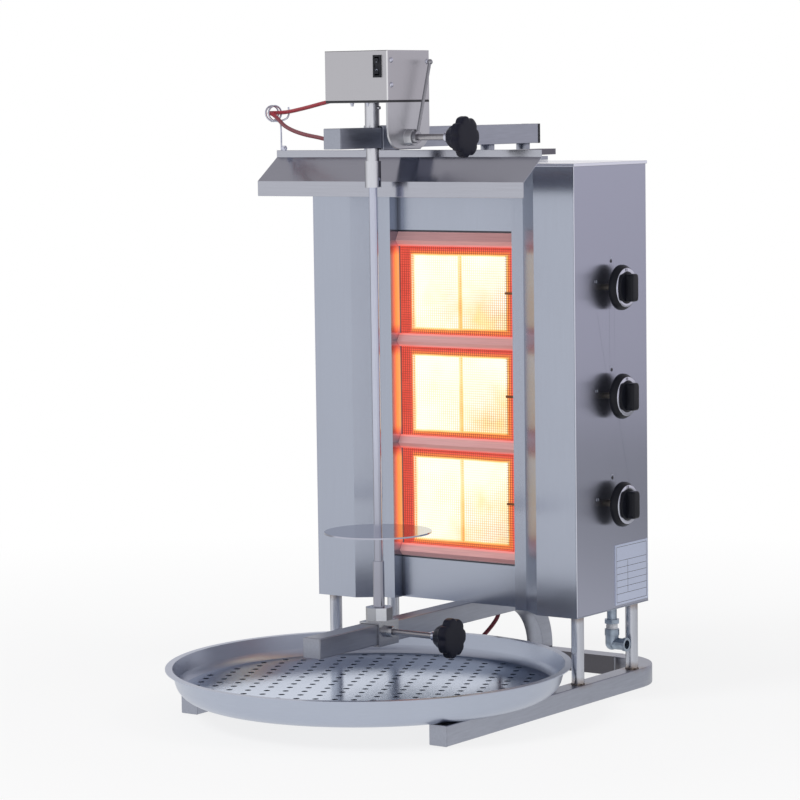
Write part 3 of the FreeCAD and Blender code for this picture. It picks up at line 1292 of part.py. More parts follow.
def build():
    nodes = {}
    nodes["base_rail_right"] = base_rail()
    nodes["base_rail_left"] = mirrored(base_rail())
    nodes["base_cross_tube"] = base_cross()
    nodes["tube_end_caps"] = tube_caps()
    nodes["legs"] = legs()
    nodes["lower_arm"] = lower_arm()
    nodes["front_panel_right"] = front_panel()
    nodes["front_panel_left"] = mirrored(front_panel())
    nodes["side_panel_right"] = right_side_panel()
    nodes["side_panel_left"] = mirrored(side_panel())
    nodes["back_panel"] = back_panel()
    nodes["back_screws"] = back_screws()
    nodes["floor_panel"] = floor_panel()
    nodes["top_lid"] = top_lid()
    nodes["label_plate"] = label_plate()
    nodes["burner_fascia"] = burner_fascia()
    nodes["burner_bars"] = burner_bars()
    nodes["burner_bodies"] = burner_bodies()
    nodes["burner_tiles"] = burner_tiles()
    nodes["burner_guards"] = burner_guards()
    nodes["venturi_tubes"] = venturi_tubes()
    nodes["gas_pipes"] = gas_pipes()
    nodes["flame_probes"] = flame_probes()
    nodes["valve_bodies"] = valve_bodies()
    nodes["gas_manifold"] = gas_manifold()
    nodes["inlet_nipple"] = inlet_nipple()
    nodes["inlet_elbow"] = inlet_elbow()
    for level, z in zip(("bottom", "middle", "top"), KNOB_HEIGHTS):
        nodes["knob_stem_" + level] = knob_stem(z)
        nodes["gas_knob_" + level] = gas_knob(z)
    nodes["upper_arm"] = upper_arm()
    nodes["arm_end_plug"] = arm_end_plug()
    nodes["saddle"] = saddle()
    nodes["hood_sheet"] = hood_sheet()
    nodes["hood_straps"] = hood_straps()
    nodes["wire_guide"] = wire_guide()
    nodes["upper_sleeve"] = upper_sleeve()
    nodes["motor_bracket"] = motor_bracket()
    nodes["gear_motor"] = gear_motor()
    nodes["motor_cover"] = motor_cover()
    nodes["cover_screws"] = cover_screws()
    nodes["switch_housing"] = switch_housing()
    nodes["rocker"] = rocker()
    nodes["lock_lever"] = lock_lever()
    nodes["upper_star_knob"] = star_knob(UPPER_STAR_X, CLAMP_Y, CLAMP_Z, HEAD_WIDTH / 2 - BRACKET_THICK)
    nodes["drive_sleeve"] = drive_sleeve()
    nodes["lower_sleeve"] = lower_sleeve()
    nodes["lower_star_knob"] = star_knob(LOWER_STAR_X, LOWER_SCREW_Y, LOWER_SCREW_Z, TUBE / 2 + FIT_GAP)
    nodes["spit_rod"] = spit_rod()
    nodes["spit_disc"] = spit_disc()
    nodes["pan"] = pan()
    nodes["sieve_plate"] = sieve_plate()
    nodes["mains_gland"] = mains_gland()
    nodes["mains_lead"] = cord("mains lead", MAINS_ROUTE, LEAD)
    nodes["mains_coil"], coil_end, coil_way = mains_coil()
    nodes["mains_plug"] = mains_plug(coil_end, coil_way)
    nodes["motor_lead"] = cord("motor lead", MOTOR_ROUTE, MOTOR_LEAD)
    return nodes


def main():
    os.makedirs("parts", exist_ok=True)
    nodes = build()
    for name, shape in nodes.items():
        solid = place(shape)
        if not solid.isValid():
            print("not valid:", name)
        solid.exportStep("parts/" + name + ".step")
    print("nodes", len(nodes), "shift along Y", round(shift_y, 3))


main()
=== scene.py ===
import bpy, bmesh, json, math
from mathutils import Matrix, Vector


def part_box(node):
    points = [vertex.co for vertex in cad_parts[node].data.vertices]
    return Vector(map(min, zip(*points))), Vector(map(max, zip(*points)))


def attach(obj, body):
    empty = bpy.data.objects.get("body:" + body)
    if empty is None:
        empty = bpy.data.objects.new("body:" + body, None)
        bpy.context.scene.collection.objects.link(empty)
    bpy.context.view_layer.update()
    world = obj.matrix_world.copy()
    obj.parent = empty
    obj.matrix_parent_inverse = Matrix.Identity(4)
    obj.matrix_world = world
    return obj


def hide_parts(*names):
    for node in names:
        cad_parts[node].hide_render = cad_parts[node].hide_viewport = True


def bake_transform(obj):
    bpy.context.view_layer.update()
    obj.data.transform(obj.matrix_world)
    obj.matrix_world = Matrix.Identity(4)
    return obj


# Gas doner kebab grill. Metres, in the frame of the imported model. SHIFT is how far the model's
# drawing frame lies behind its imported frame, so that places read as they do in the part's source.
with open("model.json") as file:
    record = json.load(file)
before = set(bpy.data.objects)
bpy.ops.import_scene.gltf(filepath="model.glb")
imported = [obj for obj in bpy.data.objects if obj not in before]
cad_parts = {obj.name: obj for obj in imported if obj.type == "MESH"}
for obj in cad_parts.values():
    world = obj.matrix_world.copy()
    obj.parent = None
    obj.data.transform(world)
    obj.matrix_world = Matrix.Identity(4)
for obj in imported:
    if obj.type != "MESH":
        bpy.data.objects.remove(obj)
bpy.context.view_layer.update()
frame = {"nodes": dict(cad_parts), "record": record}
nodes = frame["nodes"]
SHIFT = 0.09095
X, Y, Z = Vector((1, 0, 0)), Vector((0, 1, 0)), Vector((0, 0, 1))


def at(x, y, z):
    """A place given in the drawing frame's millimetres."""
    return Vector((x / 1000, y / 1000 + SHIFT, z / 1000))


def rgb(*shown):
    """A linear colour from one given as it shows, 0 to 255."""
    return tuple(c / 3294.6 if c < 11 else ((c / 255 + 0.055) / 1.055) ** 2.4 for c in shown)


def shade(colour, factor):
    return tuple(c * factor for c in colour)


# Materials

class Graph:
    """A material's nodes, with short calls for the few kinds used here."""

    def __init__(self, name):
        self.material = bpy.data.materials.new(name)
        self.material.use_nodes = True
        self.tree = self.material.node_tree
        self.shader = self.tree.nodes["Principled BSDF"]
        self.place = self.add("ShaderNodeTexCoord").outputs["Object"]

    def put(self, socket, value):
        if isinstance(value, bpy.types.NodeSocket):
            self.tree.links.new(value, socket)
        elif isinstance(value, tuple) and len(value) == 3 and len(socket.default_value) == 4:
            socket.default_value = (*value, 1)
        else:
            socket.default_value = value

    def add(self, kind, *values, **settings):
        node = self.tree.nodes.new(kind)
        for key, value in settings.items():
            setattr(node, key, value)
        for socket, value in zip(node.inputs, values):
            if value is not None:
                self.put(socket, value)
        return node

    def math(self, operation, *values):
        return self.add("ShaderNodeMath", *values, operation=operation).outputs[0]

    def axes(self):
        return self.add("ShaderNodeSeparateXYZ", self.place).outputs

    def noise(self, scale, detail=3.0, stretch=(1, 1, 1)):
        spread = self.add("ShaderNodeVectorMath", self.place, stretch, operation="MULTIPLY").outputs[0]
        node = self.add("ShaderNodeTexNoise")
        for name, value in (("Vector", spread), ("Scale", scale), ("Detail", detail), ("Roughness", 0.6)):
            self.put(node.inputs[name], value)
        return node.outputs["Fac"]

    def span(self, value, low, high, start, end):
        return self.add("ShaderNodeMapRange", value, low, high, start, end).outputs[0]

    def off(self, value, centre):
        """How far a value lies from a centre, on either side."""
        return self.math("ABSOLUTE", self.math("SUBTRACT", value, centre))

    def along(self, vector, direction):
        """A vector's share along a direction."""
        return self.add("ShaderNodeVectorMath", vector, direction, operation="DOT_PRODUCT").outputs["Value"]

    def facing(self, direction):
        """How far the surface faces a direction, from -1 to 1."""
        return self.along(self.add("ShaderNodeNewGeometry").outputs["Normal"], direction)

    def ramp(self, value, *stops):
        node = self.add("ShaderNodeValToRGB", value)
        band = node.color_ramp
        while len(band.elements) < len(stops):
            band.elements.new(0.5)
        for element, (place, colour) in zip(band.elements, stops):
            element.position = place
            element.color = (*colour, 1)
        return node.outputs[0]

    def mix(self, factor, first, second, blend="MIX"):
        node = self.add("ShaderNodeMix", data_type="RGBA", blend_type=blend)
        for key, value in (("Factor_Float", factor), ("A_Color", first), ("B_Color", second)):
            socket = next(s for s in node.inputs if s.identifier == key)
            self.put(socket, value)
        return next(s for s in node.outputs if s.identifier == "Result_Color")

    def bump(self, height, strength, distance=0.0002):
        node = self.add("ShaderNodeBump")
        for name, value in (("Height", height), ("Strength", strength), ("Distance", distance)):
            self.put(node.inputs[name], value)
        return node.outputs[0]

    def set(self, **values):
        for key, value in values.items():
            self.put(self.shader.inputs[key.replace("_", " ")], value)
        return self.material


def steel(name, colour, roughness, stretch, variety=0.06, grain=None, scratches=0.2, stain_and_light=None, glow=None):
    """Steel with fine streaks along the axis that stretch leaves short, and faint blotches. grain is
    the way the brushing runs, which spreads reflections square to it."""
    g = Graph(name)
    streaks = g.noise(1.0, 4.0, stretch)
    tone = g.math("ADD", g.math("MULTIPLY", streaks, 0.7), g.math("MULTIPLY", g.noise(14.0), 0.3))
    base = g.ramp(tone, (0.3, shade(colour, 1 - variety)), (0.7, shade(colour, 1 + variety)))
    # Stains, and painted light and shade, laid over the colour.
    if stain_and_light:
        base = stain_and_light(g, base)
    if glow:
        g.set(Emission_Color=glow(g), Emission_Strength=1.0)
    if grain:
        normal = g.add("ShaderNodeNewGeometry").outputs["Normal"]
        across = g.add("ShaderNodeVectorMath", normal, grain, operation="CROSS_PRODUCT").outputs[0]
        g.set(Tangent=across, Anisotropic=0.8)
    return g.set(Base_Color=base, Metallic=1.0, Normal=g.bump(streaks, scratches),
                 Roughness=g.span(streaks, 0.25, 0.75, roughness * 0.95, roughness * 1.05))


# Places that the stains and the painted light and shade need, in metres
LEG_X = 0.1875
LEG_ROWS = (0.020 + SHIFT, 0.149 + SHIFT)
LEG_WELDS = (0.027, 0.109)
BASE_TOP = 0.0262
COVER_SEAM = 0.7522
COVER_TOP = 0.8128
RECESS_WALL = 0.0935
RECESS_BACK = 0.0388 + SHIFT
BEARING_FOOT = 0.1138
# The side, right and back, toward which the painted shade on the bearing and the drive sleeve falls darkest.
SHADED_SIDE = (0.81, 0.58, 0.0)

# The cabinet's right face and the head cover's right and front faces, in the drawing frame's millimetres
CABINET_SIDE = 200.0
COVER_SIDE = 46.8
COVER_FACE = -174.0


def leg_tint_and_shade(g, base):
    """Brown heat tint round the legs' welds, and painted shade on the base's inner faces under the cabinet.
    """
    x, y, z = g.axes()
    near = g.math("MINIMUM", *[g.off(z, height) for height in LEG_WELDS])
    beside = g.math("MAXIMUM", g.math("MINIMUM", *[g.off(y, row) for row in LEG_ROWS]),
                    g.off(g.math("ABSOLUTE", x), LEG_X))
    wander = g.math("MULTIPLY", g.noise(90.0), 0.008)
    tint = g.span(g.math("ADD", near, wander), 0.003, 0.012, 0.75, 0.0)
    tint = g.math("MULTIPLY", tint, g.span(g.math("ADD", beside, wander), 0.010, 0.024, 1.0, 0.12))
    base = g.mix(tint, base, rgb(128, 104, 84))
    # Painted shade: the base's inner faces under the cabinet are darkened.
    inward = g.facing((0.7, -0.7, 0.0))
    under_shade = g.math("MULTIPLY", g.span(inward, 0.3, 0.6, 0.0, 1.0),
                   g.span(z, BASE_TOP, BASE_TOP + 0.0008, 0.85, 0.0))
    under_shade = g.math("MULTIPLY", under_shade, g.math("MULTIPLY", g.span(x, 0.14, 0.17, 1.0, 0.0),
                                             g.span(y, SHIFT, SHIFT + 0.05, 0.0, 1.0)))
    return g.mix(under_shade, base, rgb(78, 74, 76))


def seam_shadow(g, base):
    """Painted shadow in the gap between the head's cover and the bracket under it."""
    gap = g.span(g.off(g.axes()[2], COVER_SEAM), 0.0010, 0.0016, 0.92, 0.0)
    return g.mix(gap, base, (0.01, 0.01, 0.012))


def wall_reflected_glow(g):
    """Painted reflection: the burners' orange light, as a glow on the recess's side walls."""
    x, y, z = g.axes()
    on_wall = g.span(g.off(g.math("ABSOLUTE", x), RECESS_WALL), 0.0006, 0.0012, 1.0, 0.0)
    deep = g.span(y, 0.022 + SHIFT, 0.034 + SHIFT, 0.0, 1.0)
    level = g.span(inside_windows(g, z, 0.002), -0.010, 0.010, 0.0, 1.0)
    share = g.math("MULTIPLY", on_wall, g.math("MULTIPLY", deep, level))
    return g.ramp(share, (0.0, (0, 0, 0)), (0.3, (0.30, 0.03, 0.02)), (0.6, (0.75, 0.12, 0.03)),
                  (1.0, (1.0, 0.30, 0.035)))


def recess_shade(g, base):
    """Painted shade on the recess's back, where it meets the side walls, the top bar and the lowest bar, and
    a painted shadow along the panels' top under the lid's lip.
    """
    x, y, z = g.axes()
    deep = g.span(y, RECESS_BACK, RECESS_BACK + 0.0008, 0.0, 1.0)
    corner = g.span(g.math("ABSOLUTE", x), 0.0875, 0.0907, 0.0, 0.5)
    edges = None
    for height, half in ((0.5862, 0.0010), (0.1640, 0.0008)):
        line = g.span(g.off(z, height), half, half + 0.0006, 0.88, 0.0)
        edges = line if edges is None else g.math("MAXIMUM", edges, line)
    dark = g.math("MULTIPLY", deep, g.math("MAXIMUM", corner, edges))
    # Painted shadow along the top, under the lid's lip.
    dark = g.math("MAXIMUM", dark, g.span(z, 0.6690, 0.6702, 0.0, 0.8))
    return g.mix(dark, base, (0.012, 0.008, 0.009))


def bearing_face_light(g, base):
    """The bearing on the low sleeve, each face painted lighter or darker by which way it faces: painted light
    and shade.
    """
    turned = g.span(g.facing(SHADED_SIDE), -1.0, 1.0, 0.0, 1.0)
    # Painted highlight on the faces turned square to the shaded side, painted shade on those turned toward or
    # away from it.
    faces = g.ramp(turned, (0.1, rgb(150, 152, 158)), (0.3, rgb(178, 180, 186)), (0.5, rgb(216, 218, 224)),
                   (0.68, rgb(196, 198, 204)), (0.9, rgb(122, 122, 128)))
    return g.mix(g.span(g.axes()[2], BEARING_FOOT, BEARING_FOOT + 0.0004, 0.0, 1.0), base, faces)


def rod_darker_low(g, base):
    """The spit, darker along its lower length."""
    return g.mix(g.span(g.axes()[2], 0.16, 0.34, 0.9, 0.0), base, rgb(150, 151, 163))


def sleeve_side_shade(g, base):
    """Painted shade on the drive sleeve's two sides, as in the shade of the head, leaving a stripe between
    them as it is.
    """
    turned = g.facing(SHADED_SIDE)
    side_shade = g.math("MAXIMUM", g.span(turned, 0.35, 0.75, 0.0, 0.85), g.span(turned, -0.95, -0.6, 0.6, 0.0))
    return g.mix(side_shade, base, rgb(98, 98, 104))


def near_corner(g, x, y, reach):
    """1 within reach of an upright corner at a place in the drawing frame, in millimetres."""
    place = g.axes()
    away = g.math("MAXIMUM", g.off(place[0], x / 1000), g.off(place[1], y / 1000 + SHIFT))
    return g.span(away, reach / 1000, reach / 1000 + 0.0004, 1.0, 0.0)


def cover_edge_light(g, base):
    """A painted highlight on the cover's front corner, and a painted dark reflection along the front's top
    edge.
    """
    _, y, z = g.axes()
    dark_top_edge = g.math("MULTIPLY", g.span(y, SHIFT - 0.1735, SHIFT - 0.1730, 0.9, 0.0),
                   g.span(z, COVER_TOP, COVER_TOP + 0.0005, 0.0, 1.0))
    base = g.mix(near_corner(g, COVER_SIDE, COVER_FACE, 1.1), base, rgb(238, 238, 240))
    return g.mix(dark_top_edge, base, (0.03, 0.03, 0.035))


def side_edge_highlight(g, base):
    """A painted highlight along the side panel's front corner."""
    return g.mix(near_corner(g, CABINET_SIDE, 0.0, 0.7), base, rgb(214, 217, 230))


def lead_low_shade(g, base):
    """Painted shade: the motor lead's lower run is darker, as in the shade of the upper one."""
    return g.mix(g.span(g.axes()[2], 0.730, 0.7385, 0.55, 0.0), base, (0.05, 0.010, 0.022))


def plastic(name, colour, roughness, grain=0.08, shine=0.5, stain_and_light=None):
    g = Graph(name)
    speckle = g.noise(900.0, 2.0)
    g.shader.inputs["Specular IOR Level"].default_value = shine
    base = g.ramp(speckle, (0.3, shade(colour, 0.8)), (0.7, shade(colour, 1.25)))
    # Stains, and painted light and shade, laid over the colour.
    if stain_and_light:
        base = stain_and_light(g, base)
    return g.set(Base_Color=base,
                 Roughness=g.span(speckle, 0.2, 0.8, roughness * 0.85, roughness * 1.2),
                 Normal=g.bump(speckle, grain))


# The burners' glow, from the windows' places
WINDOWS = ((0.1811, 0.3054), (0.3226, 0.4373), (0.4541, 0.5668))
TILES = ((0.1861, 0.2959), (0.3276, 0.4278), (0.4591, 0.5573))
TILE_LEFT = -0.075
TILE_RIGHT = 0.0715
TILE_STEP = 0.1365


def inside_windows(g, z, margin, openings=WINDOWS):
    """How far a height lies inside the nearest window, less a margin."""
    best = None
    for low, high in openings:
        inside = g.math("SUBTRACT", (high - low) / 2 - margin, g.off(z, (low + high) / 2))
        best = inside if best is None else g.math("MAXIMUM", best, inside)
    return best


def tile_places(g):
    """How far a place lies inside the tiles, and how near it is to their dimmer lower right corner."""
    x, _, z = g.axes()
    off = g.off(x, (TILE_LEFT + TILE_RIGHT) / 2)
    side = g.math("SUBTRACT", (TILE_RIGHT - TILE_LEFT) / 2, off)
    inside = g.math("MINIMUM", side, inside_windows(g, z, 0.0, TILES))
    height = g.math("SUBTRACT", g.math("WRAP", z, TILES[0][0] + TILE_STEP, TILES[0][0]), TILES[0][0])
    dim = g.math("MULTIPLY", g.span(x, -0.055, 0.06, 0.15, 1.0), g.span(height, 0.02, 0.095, 1.0, 0.1))
    return inside, off, dim


def glowing_tile():
    """Ceramic that glows white in the middle of each tile and orange at its edges."""
    g = Graph("ceramic_tile")
    inside, off, dim = tile_places(g)
    depth = g.math("MINIMUM", inside, off)
    patches = g.math("MULTIPLY", g.noise(24.0, 2.0), 0.5)
    warmth = g.math("ADD", g.span(depth, 0.0, 0.004, 0.0, 0.72),
                    g.math("SUBTRACT", patches, g.math("MULTIPLY", dim, 0.22)))
    glow = g.ramp(warmth, (0.15, (1.0, 0.20, 0.04)), (0.42, (1.0, 0.60, 0.16)), (0.70, (1.0, 0.86, 0.42)),
                  (0.80, (1.0, 0.97, 0.76)), (0.90, (1.0, 1.0, 0.94)))
    return g.set(Base_Color=(0.05, 0.04, 0.03), Roughness=0.9, Emission_Color=glow, Emission_Strength=1.04)


def red_case():
    """The burners' casings, which glow red and turn orange next to the tiles."""
    g = Graph("burner_case")
    inside = tile_places(g)[0]
    front = g.span(g.axes()[1], SHIFT + 0.050, SHIFT + 0.058, 1.0, 0.04)
    warmth = g.math("ADD", g.span(inside, -0.006, 0.0, 0.3, 1.0), g.math("MULTIPLY", g.noise(70.0), 0.3))
    glow = g.ramp(warmth, (0.35, (0.74, 0.07, 0.05)), (0.6, (1.0, 0.14, 0.09)), (1.0, (1.0, 0.30, 0.07)))
    return g.set(Base_Color=(0.06, 0.02, 0.015), Roughness=0.85, Emission_Color=glow, Emission_Strength=front)


def hot_gauze():
    """Wire that is nearly white over the tiles and dull red over the casings."""
    g = Graph("gauze")
    inside, _, dim = tile_places(g)
    patches = g.math("MULTIPLY", g.noise(22.0, 2.0), 0.5)
    heat = g.math("SUBTRACT", g.span(inside, -0.001, 0.002, 0.1, 1.12),
                  g.math("ADD", patches, g.math("MULTIPLY", dim, 0.5)))
    glow = g.ramp(heat, (0.0, (0.26, 0.018, 0.012)), (0.25, (0.62, 0.22, 0.05)), (0.5, (0.92, 0.56, 0.18)),
                  (0.72, (1.0, 0.84, 0.45)), (0.9, (1.0, 0.96, 0.74)))
    return g.set(Base_Color=(0.08, 0.04, 0.03), Roughness=0.7, Emission_Color=glow, Emission_Strength=1.0)


def bar_metal():
    """Steel painted pale pink and given a faint glow for the burners' light on it, with a red glow painted
    along the edges next to the windows: painted light.
    """
    g = Graph("bar_steel")
    x, _, z = g.axes()
    streaks = g.noise(1.0, 4.0, (20, 900, 900))
    base = g.ramp(streaks, (0.3, rgb(196, 152, 154)), (0.7, rgb(218, 176, 176)))
    # Painted light of the burners on the bars' edges next to the windows.
    heat = g.span(inside_windows(g, z, 0.0), -0.0030, -0.0006, 0.0, 1.0)
    painted_glow = g.mix(g.span(x, -0.09, 0.05, 0.0, 1.0), (0.17, 0.095, 0.095), (0.19, 0.085, 0.08))
    return g.set(Base_Color=base, Metallic=0.45, Roughness=0.55, Normal=g.bump(streaks, 0.2),
                 Emission_Color=g.mix(heat, painted_glow, (0.62, 0.09, 0.06)), Emission_Strength=1.0)


UPRIGHT = (0.02, 0.01, 1.0)
LEVEL = (1.0, 0.02, 0.01)
LOOKS = {
    "cabinet_steel": steel("cabinet_steel", rgb(168, 174, 188), 0.24, (900, 900, 14), 0.03, UPRIGHT, 0.1),
    "head_steel": steel("head_steel", rgb(186, 185, 190), 0.34, (500, 500, 8), 0.015, UPRIGHT, 0.03,
                        stain_and_light=cover_edge_light),
    "tube_steel": steel("tube_steel", rgb(161, 165, 177), 0.34, (400, 30, 400), 0.10, stain_and_light=leg_tint_and_shade),
    "bright_steel": steel("bright_steel", rgb(198, 200, 214), 0.14, (900, 900, 60), 0.05),
    "pan_steel": steel("pan_steel", rgb(182, 189, 204), 0.3, (60, 60, 900), 0.03),
    "plate_steel": steel("plate_steel", rgb(194, 208, 226), 0.12, (60, 900, 60), 0.03),
    "label_foil": steel("label_foil", rgb(212, 220, 240), 0.45, (300, 300, 300), 0.03),
    "galvanised": steel("galvanised", rgb(158, 170, 184), 0.38, (150, 150, 150), 0.25),
    "brass": steel("brass", (0.62, 0.55, 0.42), 0.3, (400, 400, 400), 0.08),
    "motor_casting": steel("motor_casting", rgb(120, 122, 126), 0.5, (200, 200, 200), 0.1),
    "bar_steel": bar_metal(),
    "ceramic_tile": glowing_tile(),
    "burner_case": red_case(),
    "gauze": hot_gauze(),
    "knob_black": plastic("knob_black", (0.009, 0.010, 0.020), 0.38, shine=0.18),
    "switch_black": plastic("switch_black", (0.008, 0.009, 0.014), 0.4, shine=0.3),
    "lead_red": plastic("lead_red", rgb(150, 32, 48), 0.45, stain_and_light=lead_low_shade),
}
recess_steel = steel("recess_steel", rgb(168, 174, 188), 0.24, (900, 900, 14), 0.03, UPRIGHT, 0.1,
                     stain_and_light=recess_shade, glow=wall_reflected_glow)
hood_steel = steel("hood_steel", rgb(176, 178, 188), 0.2, (14, 900, 900), 0.04, LEVEL, 0.1)
lid_steel = steel("lid_steel", rgb(222, 225, 236), 0.12, (900, 14, 900), 0.03)
side_steel = steel("side_steel", rgb(173, 176, 193), 0.26, (900, 900, 14), 0.012, UPRIGHT, 0.03, side_edge_highlight)
strap_steel = steel("strap_steel", rgb(112, 110, 118), 0.35, (300, 300, 300), 0.08)
bracket_steel = steel("bracket_steel", rgb(190, 191, 196), 0.3, (500, 500, 8), 0.03, UPRIGHT, 0.05,
                      stain_and_light=seam_shadow)
sleeve_steel = steel("sleeve_steel", rgb(176, 177, 182), 0.22, (400, 30, 400), 0.06, stain_and_light=bearing_face_light)
leg_steel = steel("leg_steel", rgb(194, 197, 206), 0.26, (400, 400, 30), 0.08, stain_and_light=leg_tint_and_shade)
probe_steel = steel("probe_steel", rgb(92, 72, 60), 0.5, (300, 300, 300), 0.2,
                    glow=lambda g: (0.10, 0.03, 0.01))
disc_steel = steel("disc_steel", rgb(178, 180, 194), 0.1, (60, 60, 60), 0.03)
spit_steel = steel("spit_steel", rgb(190, 193, 209), 0.14, (900, 900, 60), 0.05, stain_and_light=rod_darker_low)
drive_steel = steel("drive_steel", rgb(206, 207, 214), 0.16, (900, 900, 60), 0.05, stain_and_light=sleeve_side_shade)
lever_steel = steel("lever_steel", rgb(158, 158, 164), 0.22, (300, 300, 300), 0.08)
screw_steel = steel("screw_steel", rgb(166, 164, 168), 0.26, (900, 60, 60), 0.12)
tap_black = plastic("tap_black", (0.008, 0.009, 0.014), 0.3, shine=0.18)
marking_white = plastic("marking_white", rgb(160, 166, 182), 0.5)
mark_dark = plastic("mark_dark", rgb(50, 50, 58), 0.5)
tape_white = plastic("tape_white", rgb(226, 228, 232), 0.6, 0.3)
weld_steel = steel("weld_steel", rgb(138, 128, 120), 0.38, (500, 500, 500), 0.25, scratches=0.5)


# Pieces

def dress(obj, material, body):
    obj.data.materials.clear()
    obj.data.materials.append(material)
    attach(obj, body)
    return obj


def mesh_object(name, verts, faces, material, body, slot, crease=35):
    """A mesh piece from its points and faces, smooth but for edges sharper than crease."""
    mesh = bpy.data.meshes.new(name)
    mesh.from_pydata([tuple(v) for v in verts], [], faces)
    shape = bmesh.new()
    shape.from_mesh(mesh)
    bmesh.ops.recalc_face_normals(shape, faces=shape.faces)
    shape.to_mesh(mesh)
    shape.free()
    mesh.shade_smooth()
    mesh.set_sharp_from_angle(angle=math.radians(crease))
    obj = bpy.data.objects.new(name, mesh)
    bpy.context.scene.collection.objects.link(obj)
    return dress(obj, material, body)


def strip(rings, closed):
    """Faces between rings of equal point counts, with ends closed by one face each unless closed."""
    count = len(rings[0])
    verts = [v for ring in rings for v in ring]
    last = len(rings) if closed else len(rings) - 1
    faces = []
    for i in range(last):
        a, b = i * count, (i + 1) % len(rings) * count
        faces += [(a + j, a + (j + 1) % count, b + (j + 1) % count, b + j) for j in range(count)]
    if not closed:
        faces += [tuple(range(count)), tuple(range(len(verts) - count, len(verts)))]
    return verts, faces


def side_axes(axis):
    """Two directions square to an axis and to each other."""
    first = axis.cross(Z if abs(axis.z) < 0.9 else X).normalized()
    return first, axis.cross(first)


def lathed(profile, centre, axis, segments=64):
    """Points and faces of a turned shape. profile: (height along the axis, radius) in millimetres."""
    u, v = side_axes(axis)
    rings = []
    for height, radius in profile:
        ring = []
        for i in range(segments):
            turn = 2 * math.pi * i / segments
            ring.append(centre + (axis * height + (u * math.cos(turn) + v * math.sin(turn)) * radius) / 1000)
        rings.append(ring)
    return strip(rings, False)


def join(*shapes):
    verts, faces = [], []
    for more_verts, more_faces in shapes:
        faces += [tuple(i + len(verts) for i in face) for face in more_faces]
        verts += more_verts
    return verts, faces


def brick(low, high):
    """A block's points and faces between two corners."""
    verts = [Vector((x, y, z)) for x in (low.x, high.x) for y in (low.y, high.y) for z in (low.z, high.z)]
    return verts, [(0, 1, 3, 2), (4, 6, 7, 5), (0, 4, 5, 1), (2, 3, 7, 6), (0, 2, 6, 4), (1, 5, 7, 3)]


def turned(name, profile, centre, axis, material, body, slot, segments=64, crease=35):
    return mesh_object(name, *lathed(profile, centre, axis, segments), material, body, slot, crease)


def edge_soften(obj, width):
    """Rounds a piece's sharp edges, so that they catch the light."""
    weld = obj.modifiers.new("weld", "WELD")
    weld.merge_threshold = 0.00001
    bevel = obj.modifiers.new("edge", "BEVEL")
    bevel.width = width
    bevel.segments = 2
    bevel.limit_method = "ANGLE"
    bevel.angle_limit = math.radians(50)
    bevel.harden_normals = True


slot_of = {piece["node"]: piece["material_slot"] for piece in frame["record"]["subparts"]}
OWN_LOOKS = {"front_panel_left": recess_steel, "front_panel_right": recess_steel, "hood_sheet": hood_steel,
             "motor_bracket": bracket_steel, "flame_probes": probe_steel, "spit_disc": disc_steel,
             "burner_fascia": recess_steel, "top_lid": lid_steel, "side_panel_right": side_steel,
             "side_panel_left": side_steel, "lower_sleeve": sleeve_steel, "legs": leg_steel,
             "hood_straps": strap_steel, "spit_rod": spit_steel, "drive_sleeve": drive_steel,
             "lock_lever": lever_steel}
for name, node in nodes.items():
    node.data.materials.clear()
    node.data.materials.append(OWN_LOOKS.get(name, LOOKS[slot_of[name]]))
for name, width in (("hood_sheet", 0.0005), ("top_lid", 0.0005), ("side_panel_right", 0.0005),
                    ("side_panel_left", 0.0005), ("motor_cover", 0.0009), ("motor_bracket", 0.0006),
                    ("upper_arm", 0.0012), ("lower_arm", 0.0012), ("base_rail_right", 0.0014),
                    ("base_rail_left", 0.0014), ("upper_sleeve", 0.0008), ("lower_sleeve", 0.0008),
                    ("saddle", 0.0006), ("hood_straps", 0.0006), ("mains_plug", 0.0008),
                    ("tube_end_caps", 0.0008), ("arm_end_plug", 0.0008)):
    edge_soften(nodes[name], width)

# Gas taps

KNOB_BACK, KNOB_Y = 214.5, 86.5
KNOB_HEIGHTS = {"bottom": 245.4, "middle": 381.4, "top": 517.5}


def grip_rings(width, length, height, rounding, waist):
    """Outlines of a block with rounded corners and a rounded top, as (along, across, up)."""
    rings = []
    steps = [(0.0, 0.0), (height - rounding, 0.0)]
    steps += [(height - rounding + rounding * math.sin(a), rounding * (1 - math.cos(a)))
              for a in (0.4, 0.8, 1.2, math.pi / 2)]
    for rise, inset in steps:
        ring = []
        for i in range(48):
            turn = 2 * math.pi * (i + 0.5) / 48
            c, s = math.cos(turn), math.sin(turn)
            across = (width / 2 - inset) * math.copysign(abs(c) ** 0.35, c)
            up = (length / 2 - inset) * math.copysign(abs(s) ** 0.35, s)
            across *= 1 - waist * (1 - (2 * up / length) ** 2)
            ring.append((rise, across, up))
        rings.append(ring)
    return rings


